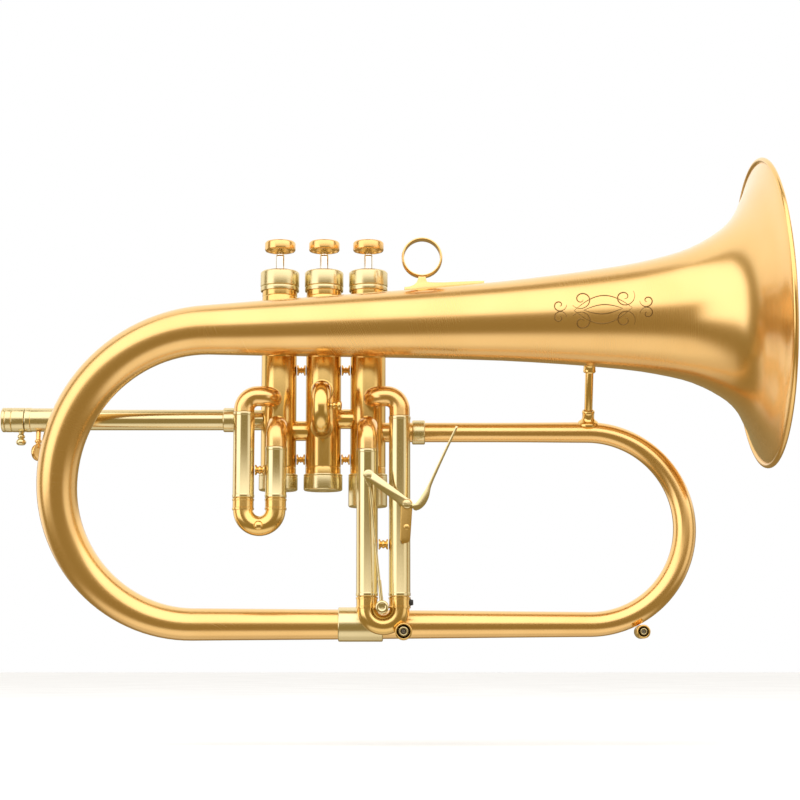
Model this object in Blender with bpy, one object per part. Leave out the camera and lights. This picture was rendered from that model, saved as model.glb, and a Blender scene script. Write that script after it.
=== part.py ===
"""A flugelhorn: bell, bows, three piston valves, their slides and a third-slide trigger.

Units are metres. +X is the way the bell points, +Z is up, and -Y is the side of the slides.
The origin is on the second valve's axis, at the height of the leadpipe.
"""
import math

import bmesh
import bpy
from mathutils import Matrix, Vector

MM = 0.001
GAP = 0.3 * MM            # between pieces that touch
SLIDE_GAP = 0.3 * MM      # round a tube that slides in another
X_AXIS = Vector((1.0, 0.0, 0.0))
Y_AXIS = Vector((0.0, 1.0, 0.0))
Z_AXIS = Vector((0.0, 0.0, 1.0))

# Valve block
VALVE_PITCH = 24.25 * MM
VALVE_NAMES = ("1", "2", "3")
CASING_RADIUS = 9.55 * MM
CASING_WALL = 0.75 * MM
CASING_SEAT_TOP = 70.9 * MM        # lower edge of the top caps
CASING_SEAT_BOTTOM = -29.7 * MM    # upper edge of the bottom caps
TOP_CAP_RADIUS = 10.6 * MM
TOP_CAP_HEIGHT = 11.2 * MM
BOTTOM_CAP_RADIUS = 10.5 * MM
BOTTOM_CAP_HEIGHTS = (8.9 * MM, 8.9 * MM, 17.8 * MM)
CAP_PLATE = 1.8 * MM
STEM_RADIUS = 2.5 * MM
VALVE_STROKE = 11.0 * MM
BUTTON_CLEARANCE = 0.5 * MM        # left between button and cap at the end of the stroke
BUTTON_RADIUS = 8.4 * MM
BUTTON_HEIGHT = 5.3 * MM
BUTTON_RECESS = 1.6 * MM
BUTTON_LIP = 1.4 * MM
PISTON_BOTTOM = -14.0 * MM
PISTON_TOP = 45.0 * MM
SPRING_WIRE = 0.5 * MM
SPRING_TURNS = 4
PORT_RADIUS = 4.6 * MM

# Air way: heights of the tubes that meet the valves
LEADPIPE_Z = 0.0
CROSSOVER_12_Z = -6.0 * MM
CROSSOVER_23_Z = 0.5 * MM
BOW_TOP_Z = -6.8 * MM
KNUCKLE_HIGH_Z = 10.4 * MM
KNUCKLE_LOW_Z = -4.6 * MM
CROSSOVER_RADIUS = 5.4 * MM
TUBE_WALL = 0.5 * MM

# Leadpipe, mouthpiece receiver and its lock
RECEIVER_END_X = -174.4 * MM
RECEIVER_RADIUS = 6.65 * MM
RECEIVER_LENGTH = 12.8 * MM
RECEIVER_SOCKET = 5.2 * MM
LEADPIPE_RADIUS = 5.6 * MM
LEADPIPE_WALL = 0.45 * MM
LEADPIPE_TUBE_INSIDE = 55.0 * MM
COLLAR_LENGTH = 21.0 * MM
LEADPIPE_FERRULE = (-54.2 * MM, -46.9 * MM)
FERRULE_RADIUS = 6.6 * MM
THUMBSCREW_X = -154.6 * MM
THUMBSCREW_DISC = 4.6 * MM
THUMBSCREW_DROP = 17.7 * MM
THUMBSCREW_TURN = math.radians(58.0)
RECEIVER_KNOB_X = -163.9 * MM

# Main bow
BOW_BEND_X = 143.25 * MM
BRANCH_Z = -110.3 * MM
BOW_START_RADIUS = 5.35 * MM
BOW_BEND_RADII = (5.65 * MM, 6.12 * MM, 6.67 * MM)
BOW_END_RADIUS = 7.85 * MM
BOW_WALL = 0.6 * MM
BOW_FERRULE = (48.2 * MM, 55.2 * MM)

# Bell, with its tail and the left bow in one piece
BELL_Y = -28.0 * MM
BELL_AXIS_Z = 46.6 * MM
BELL_RISE = 0.0298
BELL_RIM_X = 236.2 * MM
BELL_RIM_RADIUS = 82.5 * MM
BELL_WALL = 0.6 * MM
BELL_BEAD = 2.9 * MM
LEFT_BOW_END_X = -141.3 * MM       # the left bow's furthest point
LEFT_BOW_DROP = 5.6 * MM           # how far its bend hangs below the middle
BELL_TAIL_X = 20.4 * MM
BELL_FERRULE = (8.6 * MM, 32.5 * MM)
BELL_FERRULE_RADIUS = 9.2 * MM
BELL_STATIONS = (
    (9.0, 64.0), (13.0, 55.6), (18.0, 49.2), (24.0, 44.3), (34.0, 38.5), (45.0, 34.1),
    (67.0, 29.1), (88.0, 26.2), (109.0, 23.9), (141.0, 21.1), (189.0, 18.3), (269.0, 14.65))
LEFT_BOW_RADII = (13.25 * MM, 11.9 * MM, 10.85 * MM, 9.75 * MM, 8.65 * MM)
BELL_TAIL_RADIUS = 7.95 * MM

# Brace between bell and main bow
BRACE_X = 143.6 * MM
BRACE_TOP_Y = -17.0 * MM
BRACE_ROD_RADIUS = 2.2 * MM
BRACE_SOCKET_RADIUS = 3.2 * MM

# Finger ring on the bell
RING_X = 53.4 * MM
RING_Z = 83.75 * MM
RING_RADIUS = 10.9 * MM
RING_WALL = 1.3 * MM
RING_WIDTH = 6.5 * MM
RING_FOOT_WIDTH = 5.4 * MM
RING_PLATE = (44.0 * MM, 86.5 * MM)

# Valve slides
SLIDE_Y = -19.0 * MM
LEG_PITCH = 17.2 * MM
SLEEVE_RADIUS = 5.8 * MM
SLEEVE_WALL = 0.5 * MM
KNUCKLE_RADIUS = SLEEVE_RADIUS - 0.35 * MM
KNUCKLE_OFFSET = 3.2 * MM
KNUCKLE_BEND = 6.6 * MM
KNUCKLE_DOWN_BEND = 7.2 * MM
LOW_KNUCKLE_BEND = 8.2 * MM
SLIDE_TUBE_WALL = 0.45 * MM
SLIDE_BOW_RADIUS = SLEEVE_RADIUS - SLEEVE_WALL
SLIDE_FERRULE_LENGTH = 6.3 * MM
FIRST_SLEEVE_END = -44.1 * MM
FIRST_SEAMS = (1.8 * MM, -16.9 * MM)
FIRST_TRAVEL = 15.0 * MM
THIRD_SLEEVE_END = -96.0 * MM
THIRD_SEAMS = (-0.3 * MM, -18.0 * MM)
THIRD_TRAVEL = 11.2 * MM
SLIDE_TUBE_SPARE = 14.0 * MM       # still held at full travel
SECOND_HIGH_Z = 13.4 * MM
SECOND_LOW_Z = -6.2 * MM
SECOND_SLEEVE_END = -20.0 * MM
SECOND_BOW_RADIUS = 4.9 * MM
SECOND_SLEEVE_RADIUS = 5.95 * MM
SECOND_TUBE_LENGTH = 9.0 * MM

# Trigger of the third slide
LEVER_STAND_OFF = 3.8 * MM         # the lever's front face, ahead of the slide's legs
LEVER_Y = SLIDE_Y - SLEEVE_RADIUS - LEVER_STAND_OFF
LEVER_THICKNESS = 1.2 * MM
THIRD_LEG_X = VALVE_PITCH + LEG_PITCH      # the third slide's outer leg
LEVER_PIVOT = Vector((THIRD_LEG_X + 3.85 * MM, 0.0, -48.0 * MM))
LEVER_PIN = Vector((VALVE_PITCH + 0.8 * MM, 0.0, -32.7 * MM))
LEVER_HALF_WIDTH = 2.6 * MM
ROD_BALL = Vector((VALVE_PITCH + LEG_PITCH / 2.0 - 0.55 * MM, 0.0, -101.8 * MM))
ROD_PLAY = 1.1 * MM                # the open pivot between rod and lever
PIN_RADIUS = 1.0 * MM
ROD_THICKNESS = 1.2 * MM
ROD_HALF_WIDTH = 1.3 * MM
ROD_PAD_RADIUS = 3.5 * MM
SCREW_RADIUS = 1.3 * MM
SCREW_HEAD_RADIUS = 2.5 * MM
BRACKET_BOTTOM_Z = -68.5 * MM

# Water keys: centre of the barrel in X and Z
BOW_KEY = Vector((171.2 * MM, 0.0, -114.2 * MM))
BOW_KEY_RADIUS = 3.7 * MM
SLIDE_KEY = Vector((THIRD_LEG_X + 2.05 * MM, SLIDE_Y, -114.4 * MM))
SLIDE_KEY_RADIUS = 4.5 * MM
KEY_LENGTH = 13.0 * MM
PLUNGER_TRAVEL = 1.5 * MM

GOLD = ((0.83, 0.55, 0.22), 0.30)
BRASS = ((0.86, 0.66, 0.30), 0.25)
NICKEL = ((0.74, 0.69, 0.52), 0.25)
CHROME = ((0.80, 0.80, 0.78), 0.12)
STEEL = ((0.42, 0.42, 0.42), 0.35)


# ---------------------------------------------------------------- tools

def add_object(name, mesh, look):
    """An object with its own material, smooth on its round faces."""
    mesh.shade_smooth()
    mesh.set_sharp_from_angle(angle=math.radians(40.0))
    obj = bpy.data.objects.new(name, mesh)
    bpy.context.collection.objects.link(obj)
    colour, roughness = look
    material = bpy.data.materials.new(name + "_finish")
    material.use_nodes = True
    shader = material.node_tree.nodes["Principled BSDF"]
    shader.inputs["Base Color"].default_value = (*colour, 1.0)
    shader.inputs["Metallic"].default_value = 1.0
    shader.inputs["Roughness"].default_value = roughness
    mesh.materials.append(material)
    return obj


def finish(name, bm, look):
    """Close the books on a bmesh: outward faces, then an object."""
    bmesh.ops.recalc_face_normals(bm, faces=bm.faces)
    mesh = bpy.data.meshes.new(name)
    bm.to_mesh(mesh)
    bm.free()
    return add_object(name, mesh, look)


def set_origin(name, point):
    """Move a piece's origin to a point, with its mesh left where it is."""
    obj = bpy.data.objects[name]
    turn = obj.rotation_quaternion if obj.rotation_mode == "QUATERNION" else obj.rotation_euler
    shift = turn.to_matrix().inverted() @ (Vector(point) - obj.location)
    obj.data.transform(Matrix.Translation(-shift))
    obj.location = point


def hide(obj):
    """A helper solid that only cuts or joins."""
    obj.hide_render = True
    obj.display_type = "WIRE"
    return obj


def combine(obj, other, operation="DIFFERENCE"):
    """Cut a hidden helper from a piece, or join it on."""
    modifier = obj.modifiers.new(operation.lower(), "BOOLEAN")
    modifier.operation = operation
    modifier.solver = "EXACT"
    modifier.object = other


class Route:
    """A centre line: its points, and a steady frame at each of them."""

    def __init__(self, points):
        self.points = [Vector(point) for point in points]
        self.marks = [0.0]
        for start, end in zip(self.points, self.points[1:]):
            self.marks.append(self.marks[-1] + (end - start).length)
        self.length = self.marks[-1]
        steps = [(b - a).normalized() for a, b in zip(self.points, self.points[1:])]
        self.tangents = [steps[0]]
        for before, after in zip(steps, steps[1:]):
            self.tangents.append((before + after).normalized())
        self.tangents.append(steps[-1])
        side = Y_AXIS if abs(steps[0].y) < 0.7 else X_AXIS
        self.sides = []
        for tangent in self.tangents:
            side = (side - tangent * side.dot(tangent)).normalized()
            self.sides.append(side)

    def frame(self, distance):
        """The plane across the line at a distance from its start."""
        index = 0
        while index < len(self.marks) - 2 and distance > self.marks[index + 1]:
            index += 1
        share = (distance - self.marks[index]) / (self.marks[index + 1] - self.marks[index])
        start, end = self.points[index], self.points[index + 1]
        if share < 1e-4:
            tangent = self.tangents[index]
        elif share > 1.0 - 1e-4:
            tangent = self.tangents[index + 1]
        else:
            tangent = (end - start).normalized()
        point = start.lerp(end, share)
        side = self.sides[index].lerp(self.sides[index + 1], min(max(share, 0.0), 1.0))
        side = (side - tangent * side.dot(tangent)).normalized()
        third = tangent.cross(side)
        axes = Matrix((side, third, tangent)).transposed().to_4x4()
        return Matrix.Translation(point) @ axes


def bent_route(corners, bends, parts=3):
    """Straight runs between corners, joined by round bends of the given radii."""
    points = [Vector(corners[0])]
    for before, corner, after, bend in zip(corners, corners[1:], corners[2:], bends):
        corner = Vector(corner)
        back = (Vector(before) - corner).normalized()
        ahead = (Vector(after) - corner).normalized()
        half = back.angle(ahead) / 2.0
        run = bend / math.tan(half)
        centre = corner + (back + ahead).normalized() * (bend / math.sin(half))
        start = corner + back * run - centre
        turn = start.cross(corner + ahead * run - centre).normalized()
        sweep = math.pi - 2.0 * half
        for step in range(parts + 1):
            points.append(centre + Matrix.Rotation(sweep * step / parts, 3, turn) @ start)
    points.append(Vector(corners[-1]))
    return Route([p for p, q in zip(points, points[1:]) if (q - p).length > 1e-6] + [points[-1]])


def stations_with_marks(route, stations):
    """The stations, and every bend point of the route that lies between two of them."""
    rings = []
    for (near, near_radius), (far, far_radius) in zip(stations, stations[1:]):
        rings.append((near, near_radius))
        for mark in route.marks:
            if near + GAP < mark < far - GAP:
                share = (mark - near) / (far - near)
                rings.append((mark, near_radius + share * (far_radius - near_radius)))
    rings.append(stations[-1])
    return rings


def swept(name, route, outer, inner, sides, look):
    """A tube along a route from its outer and inner stations (distance, radius).

    With no inner stations the piece is solid and its two ends are filled.
    """
    bm = bmesh.new()
    rings = stations_with_marks(route, outer)
    if inner:
        rings += list(reversed(stations_with_marks(route, inner)))
    loops = [bmesh.ops.create_circle(bm, radius=radius, segments=sides,
                                     matrix=route.frame(distance))["verts"]
             for distance, radius in rings]
    pairs = list(zip(loops, loops[1:]))
    if inner:
        pairs.append((loops[-1], loops[0]))
    else:
        bm.faces.new(loops[0])
        bm.faces.new(loops[-1])
    for first, second in pairs:
        for index in range(sides):
            after = (index + 1) % sides
            bm.faces.new((first[index], first[after], second[after], second[index]))
    return finish(name, bm, look)


def tube(name, route, radius, wall, look, sides=14):
    """A plain tube of one size along a route."""
    length = route.length
    return swept(name, route, [(0.0, radius), (length, radius)],
                 [(0.0, radius - wall), (length, radius - wall)], sides, look)


def turned(name, profile, look, sides=16, place=None, axis=Z_AXIS):
    """A lathe piece: the closed outline (radius, height) spun about its own Z axis."""
    bm = bmesh.new()
    verts = [bm.verts.new((radius, 0.0, height)) for radius, height in profile]
    edges = [bm.edges.new((a, b)) for a, b in zip(verts, verts[1:] + verts[:1])]
    on_axis = [e for e in edges if all(v.co.x < 1e-7 for v in e.verts)]
    for edge in on_axis:
        bm.edges.remove(edge)
    edges = [edge for edge in edges if edge.is_valid]
    bmesh.ops.spin(bm, geom=verts + edges, cent=(0, 0, 0), axis=(0, 0, 1),
                   angle=math.tau, steps=sides, use_merge=True)
    bmesh.ops.remove_doubles(bm, verts=bm.verts, dist=1e-7)
    obj = finish(name, bm, look)
    obj.location = place or (0, 0, 0)
    obj.rotation_mode = "QUATERNION"
    obj.rotation_quaternion = Z_AXIS.rotation_difference(axis)
    return obj


def ring_profile(outer, inner, low, high, edge=0.0):
    """The outline of a plain ring, with its outer corners cut by edge."""
    return [(inner, low), (outer - edge, low), (outer, low + edge),
            (outer, high - edge), (outer - edge, high), (inner, high)]


def disc_profile(radius, low, high, edge=0.0):
    """The outline of a solid disc, with its corners cut by edge."""
    return [(0.0, low), (radius - edge, low), (radius, low + edge),
            (radius, high - edge), (radius - edge, high), (0.0, high)]


def plate(name, outline, front, thickness, look, holes=()):
    """A flat plate in the XZ plane: outline points, its front at y = front."""
    bm = bmesh.new()
    verts = [bm.verts.new((x, front, z)) for x, z in outline]
    face = bm.faces.new(verts)
    grown = bmesh.ops.extrude_face_region(bm, geom=[face])
    moved = [item for item in grown["geom"] if isinstance(item, bmesh.types.BMVert)]
    bmesh.ops.translate(bm, verts=moved, vec=(0.0, thickness, 0.0))
    obj = finish(name, bm, look)
    for index, (x, z, radius) in enumerate(holes):
        cutter = turned(f"{name}_hole_{index}", disc_profile(radius, -5.0 * MM, 5.0 * MM), look,
                        12, (x, front, z), Y_AXIS)
        combine(obj, hide(cutter))
    return obj


def capsule_outline(start, end, start_width, end_width, steps=6):
    """A bar's outline with a round end about each of two points in X and Z."""
    along = Vector((end.x - start.x, 0.0, end.z - start.z)).normalized()
    angle = math.atan2(along.z, along.x)
    outline = []
    for centre, width, turn in ((end, end_width, angle - math.pi / 2),
                                (start, start_width, angle + math.pi / 2)):
        for step in range(steps + 1):
            here = turn + math.pi * step / steps
            outline.append((centre.x + width * math.cos(here),
                            centre.z + width * math.sin(here)))
    return outline


# ---------------------------------------------------------------- lines the tubes follow

def valve_x(index):
    """The X of a valve's axis; the second valve stands on the origin."""
    return (index - 1) * VALVE_PITCH


def bell_axis_z(x):
    """The height of the bell's straight axis, which rises slightly to the rim."""
    return BELL_AXIS_Z + BELL_RISE * x


def left_bow_arcs():
    """The two quarter bends of the left bow: centre X, centre Z and radius of each.

    The upper one touches the bell's axis, the lower one the return branch.
    """
    slant = math.sqrt(1.0 + BELL_RISE ** 2)
    middle = (bell_axis_z(LEFT_BOW_END_X + 80.0 * MM) + BRANCH_Z) / 2.0 - LEFT_BOW_DROP
    low = middle - BRANCH_Z
    high = (bell_axis_z(LEFT_BOW_END_X) - middle) / (slant - BELL_RISE)
    return ((LEFT_BOW_END_X + high, middle, high), (LEFT_BOW_END_X + low, middle, low))


def bell_route(parts=10):
    """From the rim, down the bell, round the left bow and along to the tail."""
    upper, lower = left_bow_arcs()
    first = math.pi / 2 + math.atan(BELL_RISE)
    points = [(BELL_RIM_X, BELL_Y, bell_axis_z(BELL_RIM_X))]
    for step in range(parts + 1):
        share = step / parts
        angle = first + (1.5 * math.pi - first) * share
        centre_x, centre_z, radius = upper if angle < math.pi else lower
        points.append((centre_x + radius * math.cos(angle),
                       BELL_Y * (1.0 + math.cos(math.pi * share)) / 2.0,
                       centre_z + radius * math.sin(angle)))
    points.append((BELL_TAIL_X, 0.0, BRANCH_Z))
    return Route(points)


def bell_outer_stations(route):
    """The bell's outside behind the bead: flare, cone, left bow, tail."""
    stations = [(distance * MM, radius * MM) for distance, radius in BELL_STATIONS]
    bow_start, bow_end = route.marks[1], route.marks[-2]
    for index, radius in enumerate(LEFT_BOW_RADII):
        share = index / (len(LEFT_BOW_RADII) - 1)
        stations.append((bow_start + (bow_end - bow_start) * share, radius))
    stations.append((route.length, BELL_TAIL_RADIUS))
    return stations


def main_bow_route(parts=12):
    """From the third valve, round the right bow and back to the bell's tail."""
    radius = (BOW_TOP_Z - BRANCH_Z) / 2.0
    start = valve_x(2) + CASING_RADIUS / 2.0
    points = [(start, 0.0, BOW_TOP_Z)]
    for step in range(parts + 1):
        angle = math.pi / 2 - math.pi * step / parts
        points.append((BOW_BEND_X + radius * math.cos(angle), 0.0,
                       BRANCH_Z + radius + radius * math.sin(angle)))
    points.append((BELL_TAIL_X + GAP, 0.0, BRANCH_Z))
    return Route(points)


def main_bow_stations(route, inset=0.0):
    """Radius along the main bow, less an inset."""
    bend_start, bend_end = route.marks[1], route.marks[-2]
    bend_middle = (bend_start + bend_end) / 2.0
    first, middle, last = BOW_BEND_RADII
    return [(0.0, BOW_START_RADIUS - inset), (bend_start * 0.6, BOW_START_RADIUS - inset),
            (bend_start, first - inset), (bend_middle, middle - inset),
            (bend_end, last - inset), (route.length, BOW_END_RADIUS - inset)]


def high_knuckle_route(index, side, end_z):
    """From a casing's front forward, aside to the outer leg, and down it."""
    start_x = valve_x(index) + side * KNUCKLE_OFFSET
    leg_x = valve_x(index) + side * LEG_PITCH
    corners = [(start_x, -CASING_RADIUS / 2.0, KNUCKLE_HIGH_Z),
               (start_x, SLIDE_Y, KNUCKLE_HIGH_Z),
               (leg_x, SLIDE_Y, KNUCKLE_HIGH_Z), (leg_x, SLIDE_Y, end_z)]
    return bent_route(corners, (KNUCKLE_BEND, KNUCKLE_DOWN_BEND))


def low_knuckle_route(index, end_z):
    """From a casing's front forward and down the leg before it."""
    x = valve_x(index)
    corners = [(x, -CASING_RADIUS / 2.0, KNUCKLE_LOW_Z), (x, SLIDE_Y, KNUCKLE_LOW_Z),
               (x, SLIDE_Y, end_z)]
    return bent_route(corners, (LOW_KNUCKLE_BEND,))


def slide_bow_route(index, side, sleeve_end, high_top, low_top, parts=8):
    """Down the outer leg, round the bow and up the leg in front of the valve."""
    radius = LEG_PITCH / 2.0
    near_x, far_x = valve_x(index), valve_x(index) + side * LEG_PITCH
    centre_x = (near_x + far_x) / 2.0
    bend_z = sleeve_end - SLIDE_FERRULE_LENGTH
    points = [(far_x, SLIDE_Y, high_top)]
    for step in range(parts + 1):
        angle = math.pi * step / parts
        points.append((centre_x + side * radius * math.cos(angle), SLIDE_Y,
                       bend_z - radius * math.sin(angle)))
    points.append((near_x, SLIDE_Y, low_top))
    return Route(points)


# ---------------------------------------------------------------- valves

def make_clearance_posts():
    """Solids a little wider than the casings, which trim the tubes that meet them."""
    low, high = CASING_SEAT_BOTTOM - 5 * MM, CASING_SEAT_TOP
    return [hide(turned(f"trim_valve_{name}", disc_profile(CASING_RADIUS + GAP, low, high),
                        BRASS, 32, (valve_x(index), 0, 0)))
            for index, name in enumerate(VALVE_NAMES)]


def casing_bottom(index):
    """The lower end of a casing, just above its cap's plate."""
    return CASING_SEAT_BOTTOM - BOTTOM_CAP_HEIGHTS[index] + CAP_PLATE + GAP


def piston_radius():
    """The piston's radius: the casing's bore less the running gap."""
    return CASING_RADIUS - CASING_WALL - GAP


def cap_top():
    """The height of the top caps' upper face."""
    return CASING_SEAT_TOP + TOP_CAP_HEIGHT


def button_bottom():
    """The height of a finger button's lower edge at rest."""
    return cap_top() + VALVE_STROKE + BUTTON_CLEARANCE


def make_casing(index, name):
    """A casing with a port for each tube that meets it."""
    x = valve_x(index)
    top = cap_top() - CAP_PLATE - GAP
    profile = ring_profile(CASING_RADIUS, CASING_RADIUS - CASING_WALL, casing_bottom(index), top)
    casing = turned(f"valve_casing_{name}", profile, BRASS, 20, (x, 0, 0))
    left_right = ((LEADPIPE_Z, CROSSOVER_12_Z), (CROSSOVER_12_Z, CROSSOVER_23_Z),
                  (CROSSOVER_23_Z, BOW_TOP_Z))[index]
    front = ((KNUCKLE_HIGH_Z, KNUCKLE_LOW_Z), (SECOND_HIGH_Z, SECOND_LOW_Z),
             (KNUCKLE_HIGH_Z, KNUCKLE_LOW_Z))[index]
    ports = [(-X_AXIS, left_right[0]), (X_AXIS, left_right[1]),
             (-Y_AXIS, front[0]), (-Y_AXIS, front[1])]
    for number, (way, z) in enumerate(ports):
        port = turned(f"port_{name}_{number}",
                      disc_profile(PORT_RADIUS, CASING_RADIUS / 2.0, 2.0 * CASING_RADIUS), BRASS,
                      10, (x, 0, z), way)
        combine(casing, hide(port))


def make_piston(index, name):
    """A piston with its stem and two of its air passages."""
    radius = piston_radius()
    stem_top = button_bottom() + BUTTON_HEIGHT - BUTTON_LIP - GAP
    profile = [(0.0, PISTON_BOTTOM), (radius - 0.4 * MM, PISTON_BOTTOM),
               (radius, PISTON_BOTTOM + 0.4 * MM), (radius, PISTON_TOP - 0.4 * MM),
               (radius - 0.4 * MM, PISTON_TOP), (STEM_RADIUS, PISTON_TOP),
               (STEM_RADIUS, stem_top), (0.0, stem_top)]
    piston = turned(f"piston_{name}", profile, CHROME, 16, (valve_x(index), 0, 0))
    passages = ((X_AXIS, CROSSOVER_12_Z, -2.0 * CASING_RADIUS),
                (-Y_AXIS, KNUCKLE_HIGH_Z, 0.0))
    for number, (way, z, start) in enumerate(passages):
        bore = turned(f"passage_{name}_{number}",
                      disc_profile(PORT_RADIUS - GAP, start, 2.0 * CASING_RADIUS), BRASS,
                      10, (valve_x(index), 0, z), way)
        combine(piston, hide(bore))


def make_button(index, name):
    """A finger button, hollow below, with a shallow dish on top."""
    low = button_bottom()
    high = low + BUTTON_HEIGHT
    rim = BUTTON_RADIUS - 1.3 * MM
    profile = [(0.0, high - BUTTON_LIP), (STEM_RADIUS + 1.4 * MM, high - BUTTON_LIP),
               (rim, low + BUTTON_RECESS), (rim, low),
               (BUTTON_RADIUS - 0.3 * MM, low), (BUTTON_RADIUS, low + 0.3 * MM),
               (BUTTON_RADIUS, high - 0.9 * MM), (BUTTON_RADIUS - 0.9 * MM, high), (0.0, high)]
    turned(f"finger_button_{name}", profile, GOLD, 16, (valve_x(index), 0, 0))


def make_top_cap(index, name):
    """A cap that seats over the casing's top and lets the stem through."""
    high = cap_top()
    hole = STEM_RADIUS + SLIDE_GAP
    seat = CASING_RADIUS + GAP
    profile = [(seat, CASING_SEAT_TOP), (TOP_CAP_RADIUS, CASING_SEAT_TOP),
               (TOP_CAP_RADIUS, high - 0.7 * MM), (TOP_CAP_RADIUS - 0.7 * MM, high),
               (hole, high), (hole, high - CAP_PLATE), (seat, high - CAP_PLATE)]
    turned(f"top_cap_{name}", profile, NICKEL, 16, (valve_x(index), 0, 0))


def make_bottom_cap(index, name):
    """A cup over the casing's lower end, with a vent in its plate."""
    low = CASING_SEAT_BOTTOM - BOTTOM_CAP_HEIGHTS[index]
    vent = 1.2 * MM
    seat = CASING_RADIUS + GAP
    profile = [(vent, low), (BOTTOM_CAP_RADIUS - 0.5 * MM, low),
               (BOTTOM_CAP_RADIUS, low + 0.5 * MM),
               (BOTTOM_CAP_RADIUS, CASING_SEAT_BOTTOM - 0.5 * MM),
               (BOTTOM_CAP_RADIUS - 0.4 * MM, CASING_SEAT_BOTTOM), (seat, CASING_SEAT_BOTTOM),
               (seat, low + CAP_PLATE), (vent, low + CAP_PLATE)]
    turned(f"bottom_cap_{name}", profile, NICKEL, 16, (valve_x(index), 0, 0))


def make_spring(index, name):
    """A coil spring between the bottom cap's plate and the piston."""
    low = CASING_SEAT_BOTTOM - BOTTOM_CAP_HEIGHTS[index] + CAP_PLATE + GAP + SPRING_WIRE
    high = PISTON_BOTTOM - GAP - SPRING_WIRE
    radius = piston_radius() - SPRING_WIRE - 1.5 * MM
    curve = bpy.data.curves.new(f"valve_spring_{name}_line", "CURVE")
    curve.dimensions = "3D"
    curve.bevel_depth = SPRING_WIRE
    curve.bevel_resolution = 1
    curve.use_fill_caps = True
    spline = curve.splines.new("POLY")
    count = 8 * SPRING_TURNS
    spline.points.add(count)
    for step in range(count + 1):
        turn = math.tau * SPRING_TURNS * step / count
        spline.points[step].co = (radius * math.cos(turn), radius * math.sin(turn),
                                  low + (high - low) * step / count, 1.0)
    guide = bpy.data.objects.new(f"valve_spring_{name}_guide", curve)
    bpy.context.collection.objects.link(guide)
    graph = bpy.context.evaluated_depsgraph_get()
    mesh = bpy.data.meshes.new_from_object(guide.evaluated_get(graph))
    bpy.data.objects.remove(guide)
    bm = bmesh.new()
    bm.from_mesh(mesh)
    bmesh.ops.remove_doubles(bm, verts=bm.verts, dist=1e-6)
    obj = finish(f"valve_spring_{name}", bm, STEEL)
    obj.location = (valve_x(index), 0, 0)


def make_valve_braces():
    """Small waisted braces between neighbouring casings, two to each pair."""
    length = VALVE_PITCH - 2.0 * CASING_RADIUS - 2.0 * GAP
    half = length / 2.0
    flange, waist, thickness = 2.9 * MM, 1.5 * MM, 0.8 * MM
    profile = [(0.0, -half), (flange, -half), (flange, thickness - half),
               (waist, 1.3 * MM - half), (waist, half - 1.3 * MM),
               (flange, half - thickness), (flange, half), (0.0, half)]
    for level, z in (("upper", 27.3 * MM), ("lower", -21.6 * MM)):
        for index, pair in enumerate(("12", "23")):
            x = (valve_x(index) + valve_x(index + 1)) / 2.0
            turned(f"valve_brace_{level}_{pair}", profile, BRASS, 12, (x, 0, z), X_AXIS)


def make_crossovers(posts):
    """The short tubes that carry the air from valve to valve."""
    for index, (pair, z) in enumerate((("12", CROSSOVER_12_Z), ("23", CROSSOVER_23_Z))):
        route = Route([(valve_x(index) + CASING_RADIUS / 2, 0, z),
                       (valve_x(index + 1) - CASING_RADIUS / 2, 0, z)])
        piece = tube(f"crossover_{pair}", route, CROSSOVER_RADIUS, TUBE_WALL, BRASS, 14)
        combine(piece, posts[index])
        combine(piece, posts[index + 1])


def make_valves(posts):
    """The three valves and what joins them."""
    for index, name in enumerate(VALVE_NAMES):
        make_casing(index, name)
        make_piston(index, name)
        make_button(index, name)
        make_top_cap(index, name)
        make_bottom_cap(index, name)
        make_spring(index, name)
    make_valve_braces()
    make_crossovers(posts)


# ---------------------------------------------------------------- leadpipe

def leadpipe_bore():
    """The inside radius of the fixed leadpipe, in which the receiver's tube slides."""
    return LEADPIPE_RADIUS - LEADPIPE_WALL


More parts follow.
